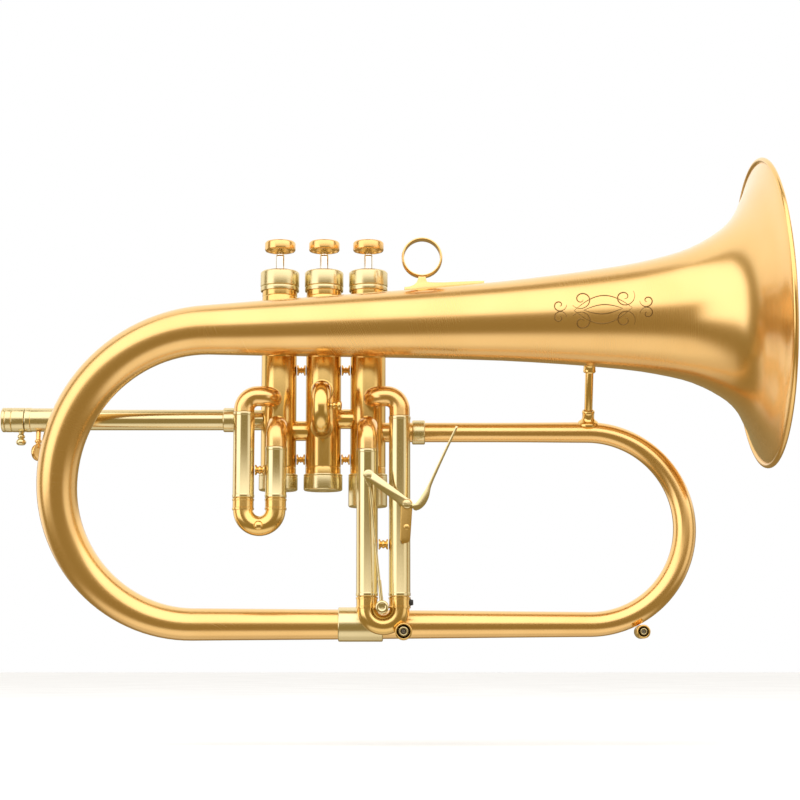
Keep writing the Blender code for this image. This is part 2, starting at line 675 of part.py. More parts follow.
def make_leadpipe(posts):
    """The fixed leadpipe with its ferrule, and the receiver that slides in it."""
    seam = RECEIVER_END_X + RECEIVER_LENGTH
    collar_end = seam + COLLAR_LENGTH
    pipe = tube("leadpipe", Route([(seam + GAP + 1.0 * MM, 0, LEADPIPE_Z),
                                   (valve_x(0) - CASING_RADIUS / 2, 0, LEADPIPE_Z)]),
                LEADPIPE_RADIUS, LEADPIPE_WALL, NICKEL, 16)
    combine(pipe, posts[0])
    seat = LEADPIPE_RADIUS + GAP
    low, high = LEADPIPE_FERRULE
    profile = ring_profile(FERRULE_RADIUS, seat, low, high, 0.4 * MM)
    turned("leadpipe_ferrule", profile, NICKEL, 16, (0, 0, LEADPIPE_Z), X_AXIS)

    collar = [(LEADPIPE_RADIUS - LEADPIPE_WALL, seam), (RECEIVER_RADIUS, seam),
              (RECEIVER_RADIUS, collar_end - 0.6 * MM), (RECEIVER_RADIUS - 0.6 * MM, collar_end),
              (seat, collar_end), (seat, seam + 1.0 * MM),
              (LEADPIPE_RADIUS - LEADPIPE_WALL, seam + 1.0 * MM)]
    lock = turned("lock_collar", collar, NICKEL, 16, (0, 0, LEADPIPE_Z), X_AXIS)
    screw_hole = turned("lock_collar_hole", disc_profile(SCREW_RADIUS + GAP, 0.0, 20 * MM), NICKEL,
                        10, (THUMBSCREW_X, 0, LEADPIPE_Z), -Z_AXIS)
    combine(lock, hide(screw_hole))
    combine(pipe, screw_hole)

    slide_radius = leadpipe_bore() - SLIDE_GAP
    bore = slide_radius - TUBE_WALL
    end = seam - GAP
    start = RECEIVER_END_X
    groove = 0.3 * MM
    profile = [(RECEIVER_SOCKET, start), (RECEIVER_RADIUS, start),
               (RECEIVER_RADIUS, start + 1.8 * MM),
               (RECEIVER_RADIUS - groove, start + 2.1 * MM),
               (RECEIVER_RADIUS, start + 2.4 * MM), (RECEIVER_RADIUS, start + 5.3 * MM),
               (RECEIVER_RADIUS - groove, start + 5.6 * MM),
               (RECEIVER_RADIUS, start + 5.9 * MM), (RECEIVER_RADIUS, end),
               (slide_radius, end), (slide_radius, seam + LEADPIPE_TUBE_INSIDE),
               (bore, seam + LEADPIPE_TUBE_INSIDE), (bore, end - 2.0 * MM)]
    turned("mouthpiece_receiver", profile, NICKEL, 16, (0, 0, LEADPIPE_Z), X_AXIS)
    knob = [(0.0, RECEIVER_RADIUS + GAP), (1.6 * MM, RECEIVER_RADIUS + GAP),
            (1.2 * MM, RECEIVER_RADIUS + 1.2 * MM), (2.0 * MM, RECEIVER_RADIUS + 1.9 * MM),
            (2.0 * MM, RECEIVER_RADIUS + 3.0 * MM), (1.3 * MM, RECEIVER_RADIUS + 3.5 * MM),
            (2.5 * MM, RECEIVER_RADIUS + 4.4 * MM), (2.6 * MM, RECEIVER_RADIUS + 6.2 * MM),
            (1.9 * MM, RECEIVER_RADIUS + 7.0 * MM), (0.0, RECEIVER_RADIUS + 7.2 * MM)]
    turned("receiver_knob", knob, NICKEL, 12, (RECEIVER_KNOB_X, 0, LEADPIPE_Z), -Z_AXIS)
    make_lock_thumbscrew()


def make_lock_thumbscrew():
    """A coin-shaped head on a short stem that clamps the receiver's tube."""
    stem_top = -(leadpipe_bore() + GAP)
    disc_z = -THUMBSCREW_DROP
    stem_low = disc_z + THUMBSCREW_DISC * 0.5
    stem = turned("lock_thumbscrew", disc_profile(SCREW_RADIUS, stem_low, stem_top), GOLD, 12,
                  (THUMBSCREW_X, 0, LEADPIPE_Z))
    facing = Matrix.Rotation(THUMBSCREW_TURN, 3, "Z") @ Y_AXIS
    disc = turned("lock_thumbscrew_disc",
                  disc_profile(THUMBSCREW_DISC, -0.9 * MM, 0.9 * MM, 0.3 * MM), GOLD, 20,
                  (THUMBSCREW_X, 0, disc_z), facing)
    combine(stem, hide(disc), "UNION")


# ---------------------------------------------------------------- bows and bell

def make_main_bow(posts):
    """The right-hand bow, its ferrule at the third valve and the ferrule at the bell's tail."""
    route = main_bow_route()
    bow = swept("main_bow", route, main_bow_stations(route),
                main_bow_stations(route, BOW_WALL), 16, GOLD)
    combine(bow, posts[2])
    low, high = BOW_FERRULE
    profile = ring_profile(FERRULE_RADIUS, BOW_START_RADIUS + GAP, low, high, 0.4 * MM)
    turned("bow_ferrule", profile, NICKEL, 16, (0, 0, BOW_TOP_Z), X_AXIS)
    low, high = BELL_FERRULE
    tail = max(BELL_TAIL_RADIUS, BOW_END_RADIUS) + 2.0 * GAP
    profile = ring_profile(BELL_FERRULE_RADIUS, tail, low, high, 0.6 * MM)
    turned("bell_ferrule", profile, NICKEL, 20, (0, 0, BRANCH_Z), X_AXIS)


def bell_solid(name, route, extra):
    """The bell as a solid a little larger than its outside, for trimming."""
    outer = [(distance, radius + extra) for distance, radius in bell_outer_stations(route)]
    return hide(swept(name, route, outer, [], 24, GOLD))


def make_bell():
    """The bell with its rolled rim, its cone, the left bow and the tail."""
    route = bell_route()
    rim, bead = BELL_RIM_RADIUS, BELL_BEAD
    outer = [(0.35 * MM, rim - 0.85 * bead), (0.0, rim - 0.5 * bead),
             (0.3 * MM, rim - 0.15 * bead), (0.5 * bead, rim),
             (0.85 * bead, rim - 0.15 * bead), (bead, rim - 0.5 * bead),
             (1.15 * bead, rim - 0.95 * bead)]
    behind = bell_outer_stations(route)
    inner = [(distance, radius - BELL_WALL) for distance, radius in behind]
    inner.insert(0, (1.3 * MM, rim - 1.15 * bead))
    swept("bell", route, outer + behind, inner, 24, GOLD)


def make_bell_brace():
    """A rod with a socket at the bell and another on the main bow."""
    bell_trim = bell_solid("trim_bell", bell_route(), GAP)
    bow_route = main_bow_route()
    bow_trim = hide(swept("trim_main_bow", bow_route, main_bow_stations(bow_route, -GAP), [],
                          16, GOLD))
    foot = Vector((BRACE_X, 0.0, BOW_TOP_Z))
    head = Vector((BRACE_X, BRACE_TOP_Y, bell_axis_z(BRACE_X) - 18.0 * MM))
    along = (head - foot).normalized()
    length = (head - foot).length
    low_end = BOW_BEND_RADII[0] + GAP
    rod_low, rod_high = low_end + 3.2 * MM, length - 6.5 * MM
    profile = disc_profile(BRACE_ROD_RADIUS, rod_low, rod_high)
    turned("brace_rod", profile, BRASS, 12, foot, along)
    seat = BRACE_ROD_RADIUS + GAP
    bow_socket = [(0.0, 0.0), (BRACE_SOCKET_RADIUS + 2.6 * MM, 0.0),
                  (BRACE_SOCKET_RADIUS + 2.2 * MM, low_end),
                  (BRACE_SOCKET_RADIUS, low_end + 1.6 * MM),
                  (BRACE_SOCKET_RADIUS, low_end + 6.5 * MM), (seat, low_end + 6.5 * MM),
                  (seat, rod_low - GAP), (0.0, rod_low - GAP)]
    socket = turned("brace_bow_socket", bow_socket, BRASS, 16, foot, along)
    combine(socket, bow_trim)
    bell_socket = [(0.0, rod_high + GAP), (seat, rod_high + GAP), (seat, rod_high - 3.0 * MM),
                   (BRACE_SOCKET_RADIUS, rod_high - 3.0 * MM),
                   (BRACE_SOCKET_RADIUS, rod_high + 1.0 * MM),
                   (BRACE_SOCKET_RADIUS + 1.4 * MM, rod_high + 3.0 * MM),
                   (BRACE_SOCKET_RADIUS + 1.4 * MM, length), (0.0, length)]
    socket = turned("brace_bell_socket", bell_socket, BRASS, 16, foot, along)
    combine(socket, bell_trim)


def make_finger_ring():
    """The ring for a finger, on a foot and a long tapered plate along the bell."""
    profile = ring_profile(RING_RADIUS, RING_RADIUS - RING_WALL, -RING_WIDTH / 2,
                           RING_WIDTH / 2, 0.3 * MM)
    ring = turned("finger_ring", profile, GOLD, 28, (RING_X, BELL_Y, RING_Z), Y_AXIS)
    near, far = RING_PLATE
    half = RING_FOOT_WIDTH / 2.0
    low = bell_axis_z(RING_X)
    outline = [(near, low), (far, low), (far, low + 22.7 * MM), (RING_X + 12.0 * MM, low + 21.9 * MM),
               (RING_X + half, low + 21.9 * MM), (RING_X + half * 0.7, RING_Z - RING_RADIUS + 0.6 * MM),
               (RING_X - half * 0.7, RING_Z - RING_RADIUS + 0.6 * MM),
               (RING_X - half, low + 20.6 * MM), (near, low + 19.2 * MM)]
    foot = plate("finger_ring_foot", outline, BELL_Y - half, 2.0 * half, GOLD)
    trim = bpy.data.objects["trim_bell"]
    combine(foot, trim)
    combine(ring, hide(foot), "UNION")


# ---------------------------------------------------------------- valve slides

def knuckle_stations(route, seam_z, inset):
    """Knuckle first, then the slightly wider sleeve below the seam."""
    seam = route.length - (seam_z - route.points[-1].z)
    return [(0.0, KNUCKLE_RADIUS - inset), (seam, KNUCKLE_RADIUS - inset),
            (seam + 0.15 * MM, SLEEVE_RADIUS - inset), (route.length, SLEEVE_RADIUS - inset)]


def make_slide_legs(title, index, side, sleeve_end, seams, posts):
    """The two fixed legs of a slide: each a knuckle and a sleeve in one piece."""
    for level, route, seam in (
            ("upper", high_knuckle_route(index, side, sleeve_end), seams[0]),
            ("lower", low_knuckle_route(index, sleeve_end), seams[1])):
        leg = swept(f"{title}_{level}_leg", route, knuckle_stations(route, seam, 0.0),
                    knuckle_stations(route, seam, SLEEVE_WALL), 12, NICKEL)
        combine(leg, posts[index])


def make_slide_bow(title, index, side, sleeve_end, seams, travel):
    """The moving bow: an inner tube up each sleeve, a ferrule on each, the bow below."""
    inner_radius = SLEEVE_RADIUS - SLEEVE_WALL - SLIDE_GAP
    room = min(travel + SLIDE_TUBE_SPARE, seams[1] - sleeve_end - 1.5 * MM)
    top = sleeve_end + room
    route = slide_bow_route(index, side, sleeve_end, top, top)
    shoulder = room + GAP
    ferrule = shoulder + SLIDE_FERRULE_LENGTH - GAP
    length = route.length
    outer = [(0.0, inner_radius), (shoulder, inner_radius), (shoulder + 0.05 * MM, SLEEVE_RADIUS),
             (ferrule, SLEEVE_RADIUS), (ferrule + 0.1 * MM, SLIDE_BOW_RADIUS),
             (length - ferrule - 0.1 * MM, SLIDE_BOW_RADIUS), (length - ferrule, SLEEVE_RADIUS),
             (length - shoulder - 0.05 * MM, SLEEVE_RADIUS), (length - shoulder, inner_radius),
             (length, inner_radius)]
    bore = inner_radius - SLIDE_TUBE_WALL
    return swept(f"{title}_bow", route, outer, [(0.0, bore), (length, bore)], 12, BRASS)


def make_leg_brace(title, index, side, z):
    """A small waisted brace between the two legs of a slide."""
    half = (LEG_PITCH - 2.0 * SLEEVE_RADIUS) / 2.0 - GAP
    profile = [(0.0, -half), (2.8 * MM, -half), (2.8 * MM, 0.7 * MM - half), (1.4 * MM, -0.8 * MM),
               (2.2 * MM, -0.4 * MM), (2.2 * MM, 0.4 * MM), (1.4 * MM, 0.8 * MM),
               (2.8 * MM, half - 0.7 * MM), (2.8 * MM, half), (0.0, half)]
    x = valve_x(index) + side * LEG_PITCH / 2.0
    turned(f"{title}_brace", profile, BRASS, 12, (x, SLIDE_Y, z), X_AXIS)


def make_first_and_third_slides(posts):
    """The first slide bends to the player's side, the third to the bell's side."""
    make_slide_legs("first_slide", 0, -1, FIRST_SLEEVE_END, FIRST_SEAMS, posts)
    make_slide_legs("third_slide", 2, 1, THIRD_SLEEVE_END, THIRD_SEAMS, posts)
    make_slide_bow("first_slide", 0, -1, FIRST_SLEEVE_END, FIRST_SEAMS, FIRST_TRAVEL)
    make_slide_bow("third_slide", 2, 1, THIRD_SLEEVE_END, THIRD_SEAMS, THIRD_TRAVEL + 20 * MM)
    make_leg_brace("first_slide", 0, -1, -29.2 * MM)
    make_leg_brace("third_slide", 2, 1, -68.6 * MM)
    x = valve_x(0) - LEG_PITCH / 2.0
    bend_z = FIRST_SLEEVE_END - SLIDE_FERRULE_LENGTH - LEG_PITCH / 2.0
    front = SLIDE_BOW_RADIUS + GAP
    knob = [(0.0, front), (2.4 * MM, front), (2.2 * MM, front + 0.8 * MM),
            (1.3 * MM, front + 1.5 * MM), (0.0, front + 1.7 * MM)]
    turned("first_slide_knob", knob, BRASS, 12, (x, SLIDE_Y, bend_z), -Y_AXIS)


def make_second_slide(posts):
    """The short slide of the middle valve, which points straight forward."""
    for level, z in (("upper", SECOND_HIGH_Z), ("lower", SECOND_LOW_Z)):
        route = Route([(0, -CASING_RADIUS / 2.0, z), (0, SECOND_SLEEVE_END, z)])
        length = route.length
        rim = 2.6 * MM
        outer = [(0.0, SECOND_BOW_RADIUS + 0.5 * MM), (length - rim, SECOND_BOW_RADIUS + 0.5 * MM),
                 (length - rim + 0.1 * MM, SECOND_SLEEVE_RADIUS), (length, SECOND_SLEEVE_RADIUS)]
        bore = SECOND_BOW_RADIUS
        sleeve = swept(f"second_slide_{level}_sleeve", route, outer,
                       [(0.0, bore), (length, bore)], 12, BRASS)
        combine(sleeve, posts[1])
    half = (SECOND_HIGH_Z - SECOND_LOW_Z) / 2.0
    middle = (SECOND_HIGH_Z + SECOND_LOW_Z) / 2.0
    bend_y = SECOND_SLEEVE_END - 2.0 * MM
    back_y = SECOND_SLEEVE_END + SECOND_TUBE_LENGTH
    points = [(0, back_y, SECOND_HIGH_Z)]
    for step in range(9):
        angle = math.pi * step / 8
        points.append((0, bend_y - half * math.sin(angle), middle + half * math.cos(angle)))
    points.append((0, back_y, SECOND_LOW_Z))
    route = Route(points)
    inner_radius = SECOND_BOW_RADIUS - SLIDE_GAP
    shoulder = SECOND_TUBE_LENGTH + GAP
    length = route.length
    outer = [(0.0, inner_radius), (shoulder, inner_radius),
             (shoulder + 0.1 * MM, SECOND_BOW_RADIUS), (length - shoulder - 0.1 * MM, SECOND_BOW_RADIUS),
             (length - shoulder, inner_radius), (length, inner_radius)]
    bore = inner_radius - SLIDE_TUBE_WALL
    swept("second_slide_bow", route, outer, [(0.0, bore), (length, bore)], 12, BRASS)
    start = SECOND_BOW_RADIUS + GAP
    knob = [(0.0, start), (1.7 * MM, start), (1.2 * MM, start + 0.8 * MM),
            (2.0 * MM, start + 1.4 * MM), (2.0 * MM, start + 2.2 * MM),
            (1.3 * MM, start + 2.8 * MM), (2.6 * MM, start + 3.6 * MM),
            (2.7 * MM, start + 4.8 * MM), (1.9 * MM, start + 5.6 * MM), (0.0, start + 5.9 * MM)]
    turned("second_slide_knob", knob, BRASS, 12, (0, bend_y - half, middle), X_AXIS)


# ---------------------------------------------------------------- trigger and water keys

def make_trigger():
    """Bracket, lever, pivot screw, connecting rod and the post that the rod turns on."""
    front = LEVER_Y
    back = front + LEVER_THICKNESS
    bracket_front = back + GAP
    leg_front = SLIDE_Y - SLEEVE_RADIUS
    pivot, pin, ball = LEVER_PIVOT, LEVER_PIN, ROD_BALL
    outline = capsule_outline(Vector((pivot.x - 0.8 * MM, 0, BRACKET_BOTTOM_Z + 2.6 * MM)), pivot,
                              2.6 * MM, 3.0 * MM)
    plate("lever_bracket", outline, bracket_front, leg_front - GAP - bracket_front, BRASS)

    screw = [(0.0, back), (SCREW_RADIUS, back), (SCREW_RADIUS, front - GAP),
             (SCREW_HEAD_RADIUS, front - GAP), (SCREW_HEAD_RADIUS, front - 1.3 * MM),
             (SCREW_HEAD_RADIUS - 0.4 * MM, front - 1.7 * MM), (0.0, front - 1.7 * MM)]
    turned("pivot_screw", screw, NICKEL, 14, (pivot.x, 0, pivot.z), Y_AXIS)

    hole = (pivot.x, pivot.z, SCREW_RADIUS + GAP)
    lever = plate("trigger_lever", capsule_outline(pin, pivot, LEVER_HALF_WIDTH, LEVER_HALF_WIDTH),
                  front, LEVER_THICKNESS, NICKEL, [hole])
    lever.location = (pivot.x, 0, pivot.z)
    lever.data.transform(Matrix.Translation((-pivot.x, 0, -pivot.z)))
    combine(lever, hide(make_finger_strip()), "UNION")
    pin_profile = disc_profile(PIN_RADIUS, front - 0.8 * MM, back + ROD_THICKNESS + GAP)
    head = disc_profile(1.7 * MM, front - 0.9 * MM, front + 0.3 * MM)
    combine(lever, hide(turned("lever_pin", pin_profile, NICKEL, 10, (pin.x, 0, pin.z), Y_AXIS)),
            "UNION")
    combine(lever, hide(turned("lever_pin_head", head, NICKEL, 12, (pin.x, 0, pin.z), Y_AXIS)),
            "UNION")

    rod_front = back + GAP
    eye = (pin.x, pin.z, PIN_RADIUS + ROD_PLAY)
    rod = plate("connecting_rod", capsule_outline(ball, pin, ROD_HALF_WIDTH, 2.9 * MM), rod_front,
                ROD_THICKNESS, NICKEL, [eye])
    pad = disc_profile(ROD_PAD_RADIUS, front - 0.6 * MM, rod_front + ROD_THICKNESS, 0.5 * MM)
    combine(rod, hide(turned("rod_pad", pad, NICKEL, 16, (ball.x, 0, ball.z), Y_AXIS)), "UNION")
    rod.location = (ball.x, 0, ball.z)
    rod.data.transform(Matrix.Translation((-ball.x, 0, -ball.z)))

    post_front = rod_front + ROD_THICKNESS + GAP
    post_back = SLIDE_Y + 1.6 * MM
    post = turned("rod_post", disc_profile(1.9 * MM, post_front, post_back), NICKEL, 12,
                  (ball.x, 0, ball.z), Y_AXIS)
    half = (LEG_PITCH - 2.0 * SLEEVE_RADIUS) / 2.0 - GAP
    middle = valve_x(2) + LEG_PITCH / 2.0
    ferrule_z = THIRD_SLEEVE_END - SLIDE_FERRULE_LENGTH / 2.0
    bar = turned("rod_post_bar", disc_profile(1.6 * MM, -half, half), NICKEL, 12,
                 (middle, SLIDE_Y, max(ball.z, ferrule_z - 3.0 * MM)), X_AXIS)
    combine(post, hide(bar), "UNION")


def make_finger_strip():
    """The curved saddle and the long thin strip that the finger pulls."""
    pivot = LEVER_PIVOT
    line = [Vector((2.3, -0.6)), Vector((4.6, -1.6)), Vector((7.4, 0.6)), Vector((9.9, 4.6)),
            Vector((12.0, 10.0)), Vector((16.3, 19.6)), Vector((21.4, 30.5)), Vector((26.4, 41.0))]
    half = [1.0, 1.5, 2.0, 1.8, 0.9, 0.7, 0.6, 0.6]
    left, right = [], []
    for index, point in enumerate(line):
        before = line[max(index - 1, 0)]
        after = line[min(index + 1, len(line) - 1)]
        along = (after - before).normalized()
        across = Vector((-along.y, along.x)) * half[index]
        left.append(((point + across).x * MM + pivot.x, (point + across).y * MM + pivot.z))
        right.append(((point - across).x * MM + pivot.x, (point - across).y * MM + pivot.z))
    strip = plate("finger_strip", right + list(reversed(left)), LEVER_Y, 7.0 * MM, NICKEL)
    room = turned("finger_strip_room", disc_profile(4.3 * MM, 0.0, 30.0 * MM), NICKEL, 14,
                  (pivot.x, LEVER_Y + LEVER_THICKNESS, pivot.z), Y_AXIS)
    combine(strip, hide(room))
    return strip


def make_water_key(title, centre, radius, front, trims):
    """A barrel across the underside of a bow, with the plunger in its front end."""
    back = front + KEY_LENGTH
    seat = radius - 1.1 * MM
    depth = 3.6 * MM
    profile = [(0.0, front + depth), (seat, front + depth), (seat, front),
               (radius - 0.3 * MM, front), (radius, front + 0.3 * MM),
               (radius, back - 0.3 * MM), (radius - 0.3 * MM, back), (0.0, back)]
    body = turned(f"{title}_water_key_body", profile, BRASS, 16, (centre.x, 0, centre.z), Y_AXIS)
    for trim in trims:
        combine(body, trim)
    plunger_back = front + depth - GAP - PLUNGER_TRAVEL
    profile = [(0.0, front - 0.2 * MM), (0.9 * MM, front - 0.2 * MM), (1.3 * MM, front + 0.3 * MM),
               (seat - 0.9 * MM, front + 0.3 * MM), (seat - GAP - 0.2 * MM, front + 0.8 * MM),
               (seat - GAP - 0.2 * MM, plunger_back), (0.0, plunger_back)]
    turned(f"{title}_water_key_plunger", profile, STEEL, 16, (centre.x, 0, centre.z), Y_AXIS)


def make_water_keys():
    """One key on the main bow, one on the third slide's bow."""
    make_water_key("bow", BOW_KEY, BOW_KEY_RADIUS, -KEY_LENGTH / 2.0,
                   [bpy.data.objects["trim_main_bow"]])
    route = slide_bow_route(2, 1, THIRD_SLEEVE_END, THIRD_SLEEVE_END, THIRD_SLEEVE_END)
    radius = SLIDE_BOW_RADIUS + GAP
    ferrule = SLIDE_FERRULE_LENGTH
    wide = SLEEVE_RADIUS + GAP
    length = route.length
    trim = hide(swept("trim_third_bow", route,
                      [(0.0, wide), (ferrule, wide), (ferrule + GAP, radius),
                       (length - ferrule - GAP, radius), (length - ferrule, wide),
                       (length, wide)], [], 14, BRASS))
    make_water_key("slide", SLIDE_KEY, SLIDE_KEY_RADIUS, SLIDE_Y - KEY_LENGTH / 2.0, [trim])


# ---------------------------------------------------------------- assembly

def set_slide_origins():
    """Each moving slide has its origin between its two legs, at the ends of its sleeves."""
    first = (valve_x(0) - LEG_PITCH / 2.0, SLIDE_Y, FIRST_SLEEVE_END)
    second = (0.0, SECOND_SLEEVE_END, (SECOND_HIGH_Z + SECOND_LOW_Z) / 2.0)
    third = (valve_x(2) + LEG_PITCH / 2.0, SLIDE_Y, THIRD_SLEEVE_END)
    for name, place in (("first_slide_bow", first), ("first_slide_knob", first),
                        ("second_slide_bow", second), ("second_slide_knob", second),
                        ("third_slide_bow", third), ("rod_post", third)):
        set_origin(name, place)


def clear_scene():
    """Start from an empty scene."""
    for obj in list(bpy.data.objects):
        bpy.data.objects.remove(obj)


def main():
    """Build every piece in place."""
    clear_scene()
    posts = make_clearance_posts()
    make_valves(posts)
    make_leadpipe(posts)
    make_main_bow(posts)
    make_bell()
    make_bell_brace()
    make_finger_ring()
    make_first_and_third_slides(posts)
    make_second_slide(posts)
    make_trigger()
    make_water_keys()
    set_slide_origins()


main()
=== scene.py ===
"""The looks of the flugelhorn: turned, drawn and bent brass, lacquered and brushed."""
import math

import bpy
from mathutils import Matrix, Vector


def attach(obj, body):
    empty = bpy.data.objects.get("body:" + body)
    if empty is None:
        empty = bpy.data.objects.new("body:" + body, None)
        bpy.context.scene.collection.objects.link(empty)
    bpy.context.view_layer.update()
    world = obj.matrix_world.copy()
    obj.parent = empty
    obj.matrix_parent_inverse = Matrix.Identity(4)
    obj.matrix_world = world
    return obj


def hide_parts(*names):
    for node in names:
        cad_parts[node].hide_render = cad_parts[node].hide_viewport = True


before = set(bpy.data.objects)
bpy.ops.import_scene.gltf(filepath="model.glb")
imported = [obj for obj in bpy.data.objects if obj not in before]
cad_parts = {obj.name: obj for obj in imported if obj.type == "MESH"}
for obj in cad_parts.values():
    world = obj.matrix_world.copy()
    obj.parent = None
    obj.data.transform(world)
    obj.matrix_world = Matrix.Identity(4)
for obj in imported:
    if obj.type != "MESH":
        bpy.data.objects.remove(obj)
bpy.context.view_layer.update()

MM = 0.001
X_AXIS = Vector((1.0, 0.0, 0.0))
Y_AXIS = Vector((0.0, 1.0, 0.0))
Z_AXIS = Vector((0.0, 0.0, 1.0))
HORN = "horn_body"
TIP = 0.05 * MM           # radius left at the middle of a turned end
ROUND = 64                # facets round a turned piece
VALVES = (("1", -24.25 * MM), ("2", 0.0), ("3", 24.25 * MM))
VALVE_PITCH = 24.25 * MM
SLIDE_Y = -19.0 * MM
LEG_PITCH = 17.2 * MM
BOW_TOP_Z = -6.8 * MM
BRANCH_Z = -110.3 * MM
BELL_Y = -28.0 * MM
BELL_AXIS_Z = 46.6 * MM
BELL_RISE = 0.0298


# ---------------------------------------------------------------- bench tools

def deselect():
    """Nothing selected, so an operator only meets what comes next."""
    bpy.ops.object.select_all(action="DESELECT")


def pick(obj):
    """Select one object and make it the active one."""
    deselect()
    obj.select_set(True)
    bpy.context.view_layer.objects.active = obj


def modify(obj, kind, **settings):
    """Add a modifier, set it and apply it."""
    pick(obj)
    modifier = obj.modifiers.new(kind.lower(), kind)
    for key, value in settings.items():
        setattr(modifier, key, value)
    bpy.ops.object.modifier_apply(modifier=modifier.name)


def outward(obj):
    """Turn every face outward."""
    pick(obj)
    bpy.ops.object.mode_set(mode="EDIT")
    bpy.ops.mesh.select_all(action="SELECT")
    bpy.ops.mesh.normals_make_consistent(inside=False)
    bpy.ops.object.mode_set(mode="OBJECT")


def smooth(obj, angle=34.0):
    """Smooth shading with the true edges kept crisp."""
    pick(obj)
    bpy.ops.object.shade_smooth_by_angle(angle=math.radians(angle))


def settle(obj, matrix):
    """Bake a place into the mesh and leave the object at the origin."""
    pick(obj)
    obj.matrix_world = matrix @ obj.matrix_world
    bpy.ops.object.transform_apply(location=True, rotation=True, scale=True)


def stand(axis, at):
    """The placing that turns +Z to an axis and moves the origin to a point."""
    axis = Vector(axis).normalized()
    turn = Z_AXIS.rotation_difference(axis).to_matrix().to_4x4()
    if axis.z < -0.999:
        turn = Matrix.Rotation(math.pi, 4, "X")
    return Matrix.Translation(at) @ turn


def broken_edges(outline, size, closed):
    """An outline with each of its corners rounded a little."""
    points = [Vector(point) for point in outline]
    out = []
    for index, point in enumerate(points):
        if not closed and index in (0, len(points) - 1):
            out.append(point)
            continue
        back = points[index - 1] - point
        ahead = points[(index + 1) % len(points)] - point
        start = point + back.normalized() * min(size, back.length * 0.4)
        end = point + ahead.normalized() * min(size, ahead.length * 0.4)
        out += [start, point * 0.5 + (start + end) * 0.25, end]
    return [(max(point.x, TIP), point.y) for point in out]


def turning_map(obj):
    """A UV map for turned work: u follows the outline, v goes round the axis."""
    mesh = obj.data
    layer = mesh.uv_layers[0] if mesh.uv_layers else mesh.uv_layers.new(name="UVMap")
    for face in mesh.polygons:
        spots = [mesh.vertices[index].co for index in face.vertices]
        angles = [math.atan2(spot.y, spot.x) for spot in spots]
        wrap = max(angles) - min(angles) > math.pi
        for loop, spot, angle in zip(face.loop_indices, spots, angles):
            around = (angle + math.tau if wrap and angle < 0 else angle) / math.tau
            layer.data[loop].uv = (spot.z + math.hypot(spot.x, spot.y), around)


def turned(name, outline, axis=Z_AXIS, at=(0, 0, 0), edge=0.25 * MM, hollow=False,
           facets=ROUND):
    """Turn an outline of (radius, height): a circle drawn out and sized ring by ring."""
    outline = broken_edges(outline, edge, hollow)
    deselect()
    radius, height = outline[0]
    bpy.ops.mesh.primitive_circle_add(vertices=facets, radius=radius, location=(0, 0, height))
    obj = bpy.context.object
    obj.name = name
    bpy.ops.object.transform_apply(location=True)
    bpy.ops.object.mode_set(mode="EDIT")
    bpy.ops.mesh.select_all(action="SELECT")
    for (near, low), (far, high) in zip(outline, outline[1:]):
        bpy.ops.mesh.extrude_region_move(TRANSFORM_OT_translate={"value": (0, 0, high - low)})
        bpy.ops.transform.resize(value=(far / near, far / near, 1.0),
                                 center_override=(0, 0, high))
    bpy.ops.mesh.select_all(action="DESELECT")
    bpy.ops.mesh.select_non_manifold()
    if hollow:
        bpy.ops.mesh.bridge_edge_loops()
    else:
        bpy.ops.mesh.fill_holes(sides=0)
    bpy.ops.object.mode_set(mode="OBJECT")
    outward(obj)
    turning_map(obj)
    settle(obj, stand(axis, at))
    smooth(obj)
    return obj


def drawing_map(obj, points, sides):
    """A UV map for a drawn tube: u is metres along the line, v goes round the tube."""
    mesh = obj.data
    marks = distances(points)
    layer = mesh.uv_layers[0] if mesh.uv_layers else mesh.uv_layers.new(name="UVMap")
    for face in mesh.polygons:
        places = [index % sides for index in face.vertices]
        wrap = max(places) - min(places) > sides // 2
        for loop, index, place in zip(face.loop_indices, face.vertices, places):
            around = place + sides if wrap and place < sides // 2 else place
            layer.data[loop].uv = (marks[min(index // sides, len(marks) - 1)], around / sides)


def drawn(name, points, radii, wall=0.0, sides=48):
    """A tube drawn along a line: a curve with a round bevel, made a mesh with a wall."""
    line = bpy.data.curves.new(name, "CURVE")
    line.dimensions = "3D"
    line.bevel_depth = 1.0
    line.bevel_resolution = sides // 2 - 2
    line.use_fill_caps = wall == 0.0
    line.twist_mode = "MINIMUM"
    spline = line.splines.new("POLY")
    spline.points.add(len(points) - 1)
    for knot, point, radius in zip(spline.points, points, radii):
        knot.co = (*point, 1.0)
        knot.radius = radius
    obj = bpy.data.objects.new(name, line)
    bpy.context.collection.objects.link(obj)
    pick(obj)
    bpy.ops.object.convert(target="MESH")
    obj = bpy.context.object
    drawing_map(obj, points, sides)
    modify(obj, "WELD", merge_threshold=1e-6)
    outward(obj)
    if wall:
        face = obj.data.polygons[0]
        facing_out = face.normal.dot(face.center - Vector(points[0])) > 0.0
        modify(obj, "SOLIDIFY", thickness=wall, offset=-1.0 if facing_out else 1.0)
        outward(obj)
    smooth(obj, 40.0)
    return obj


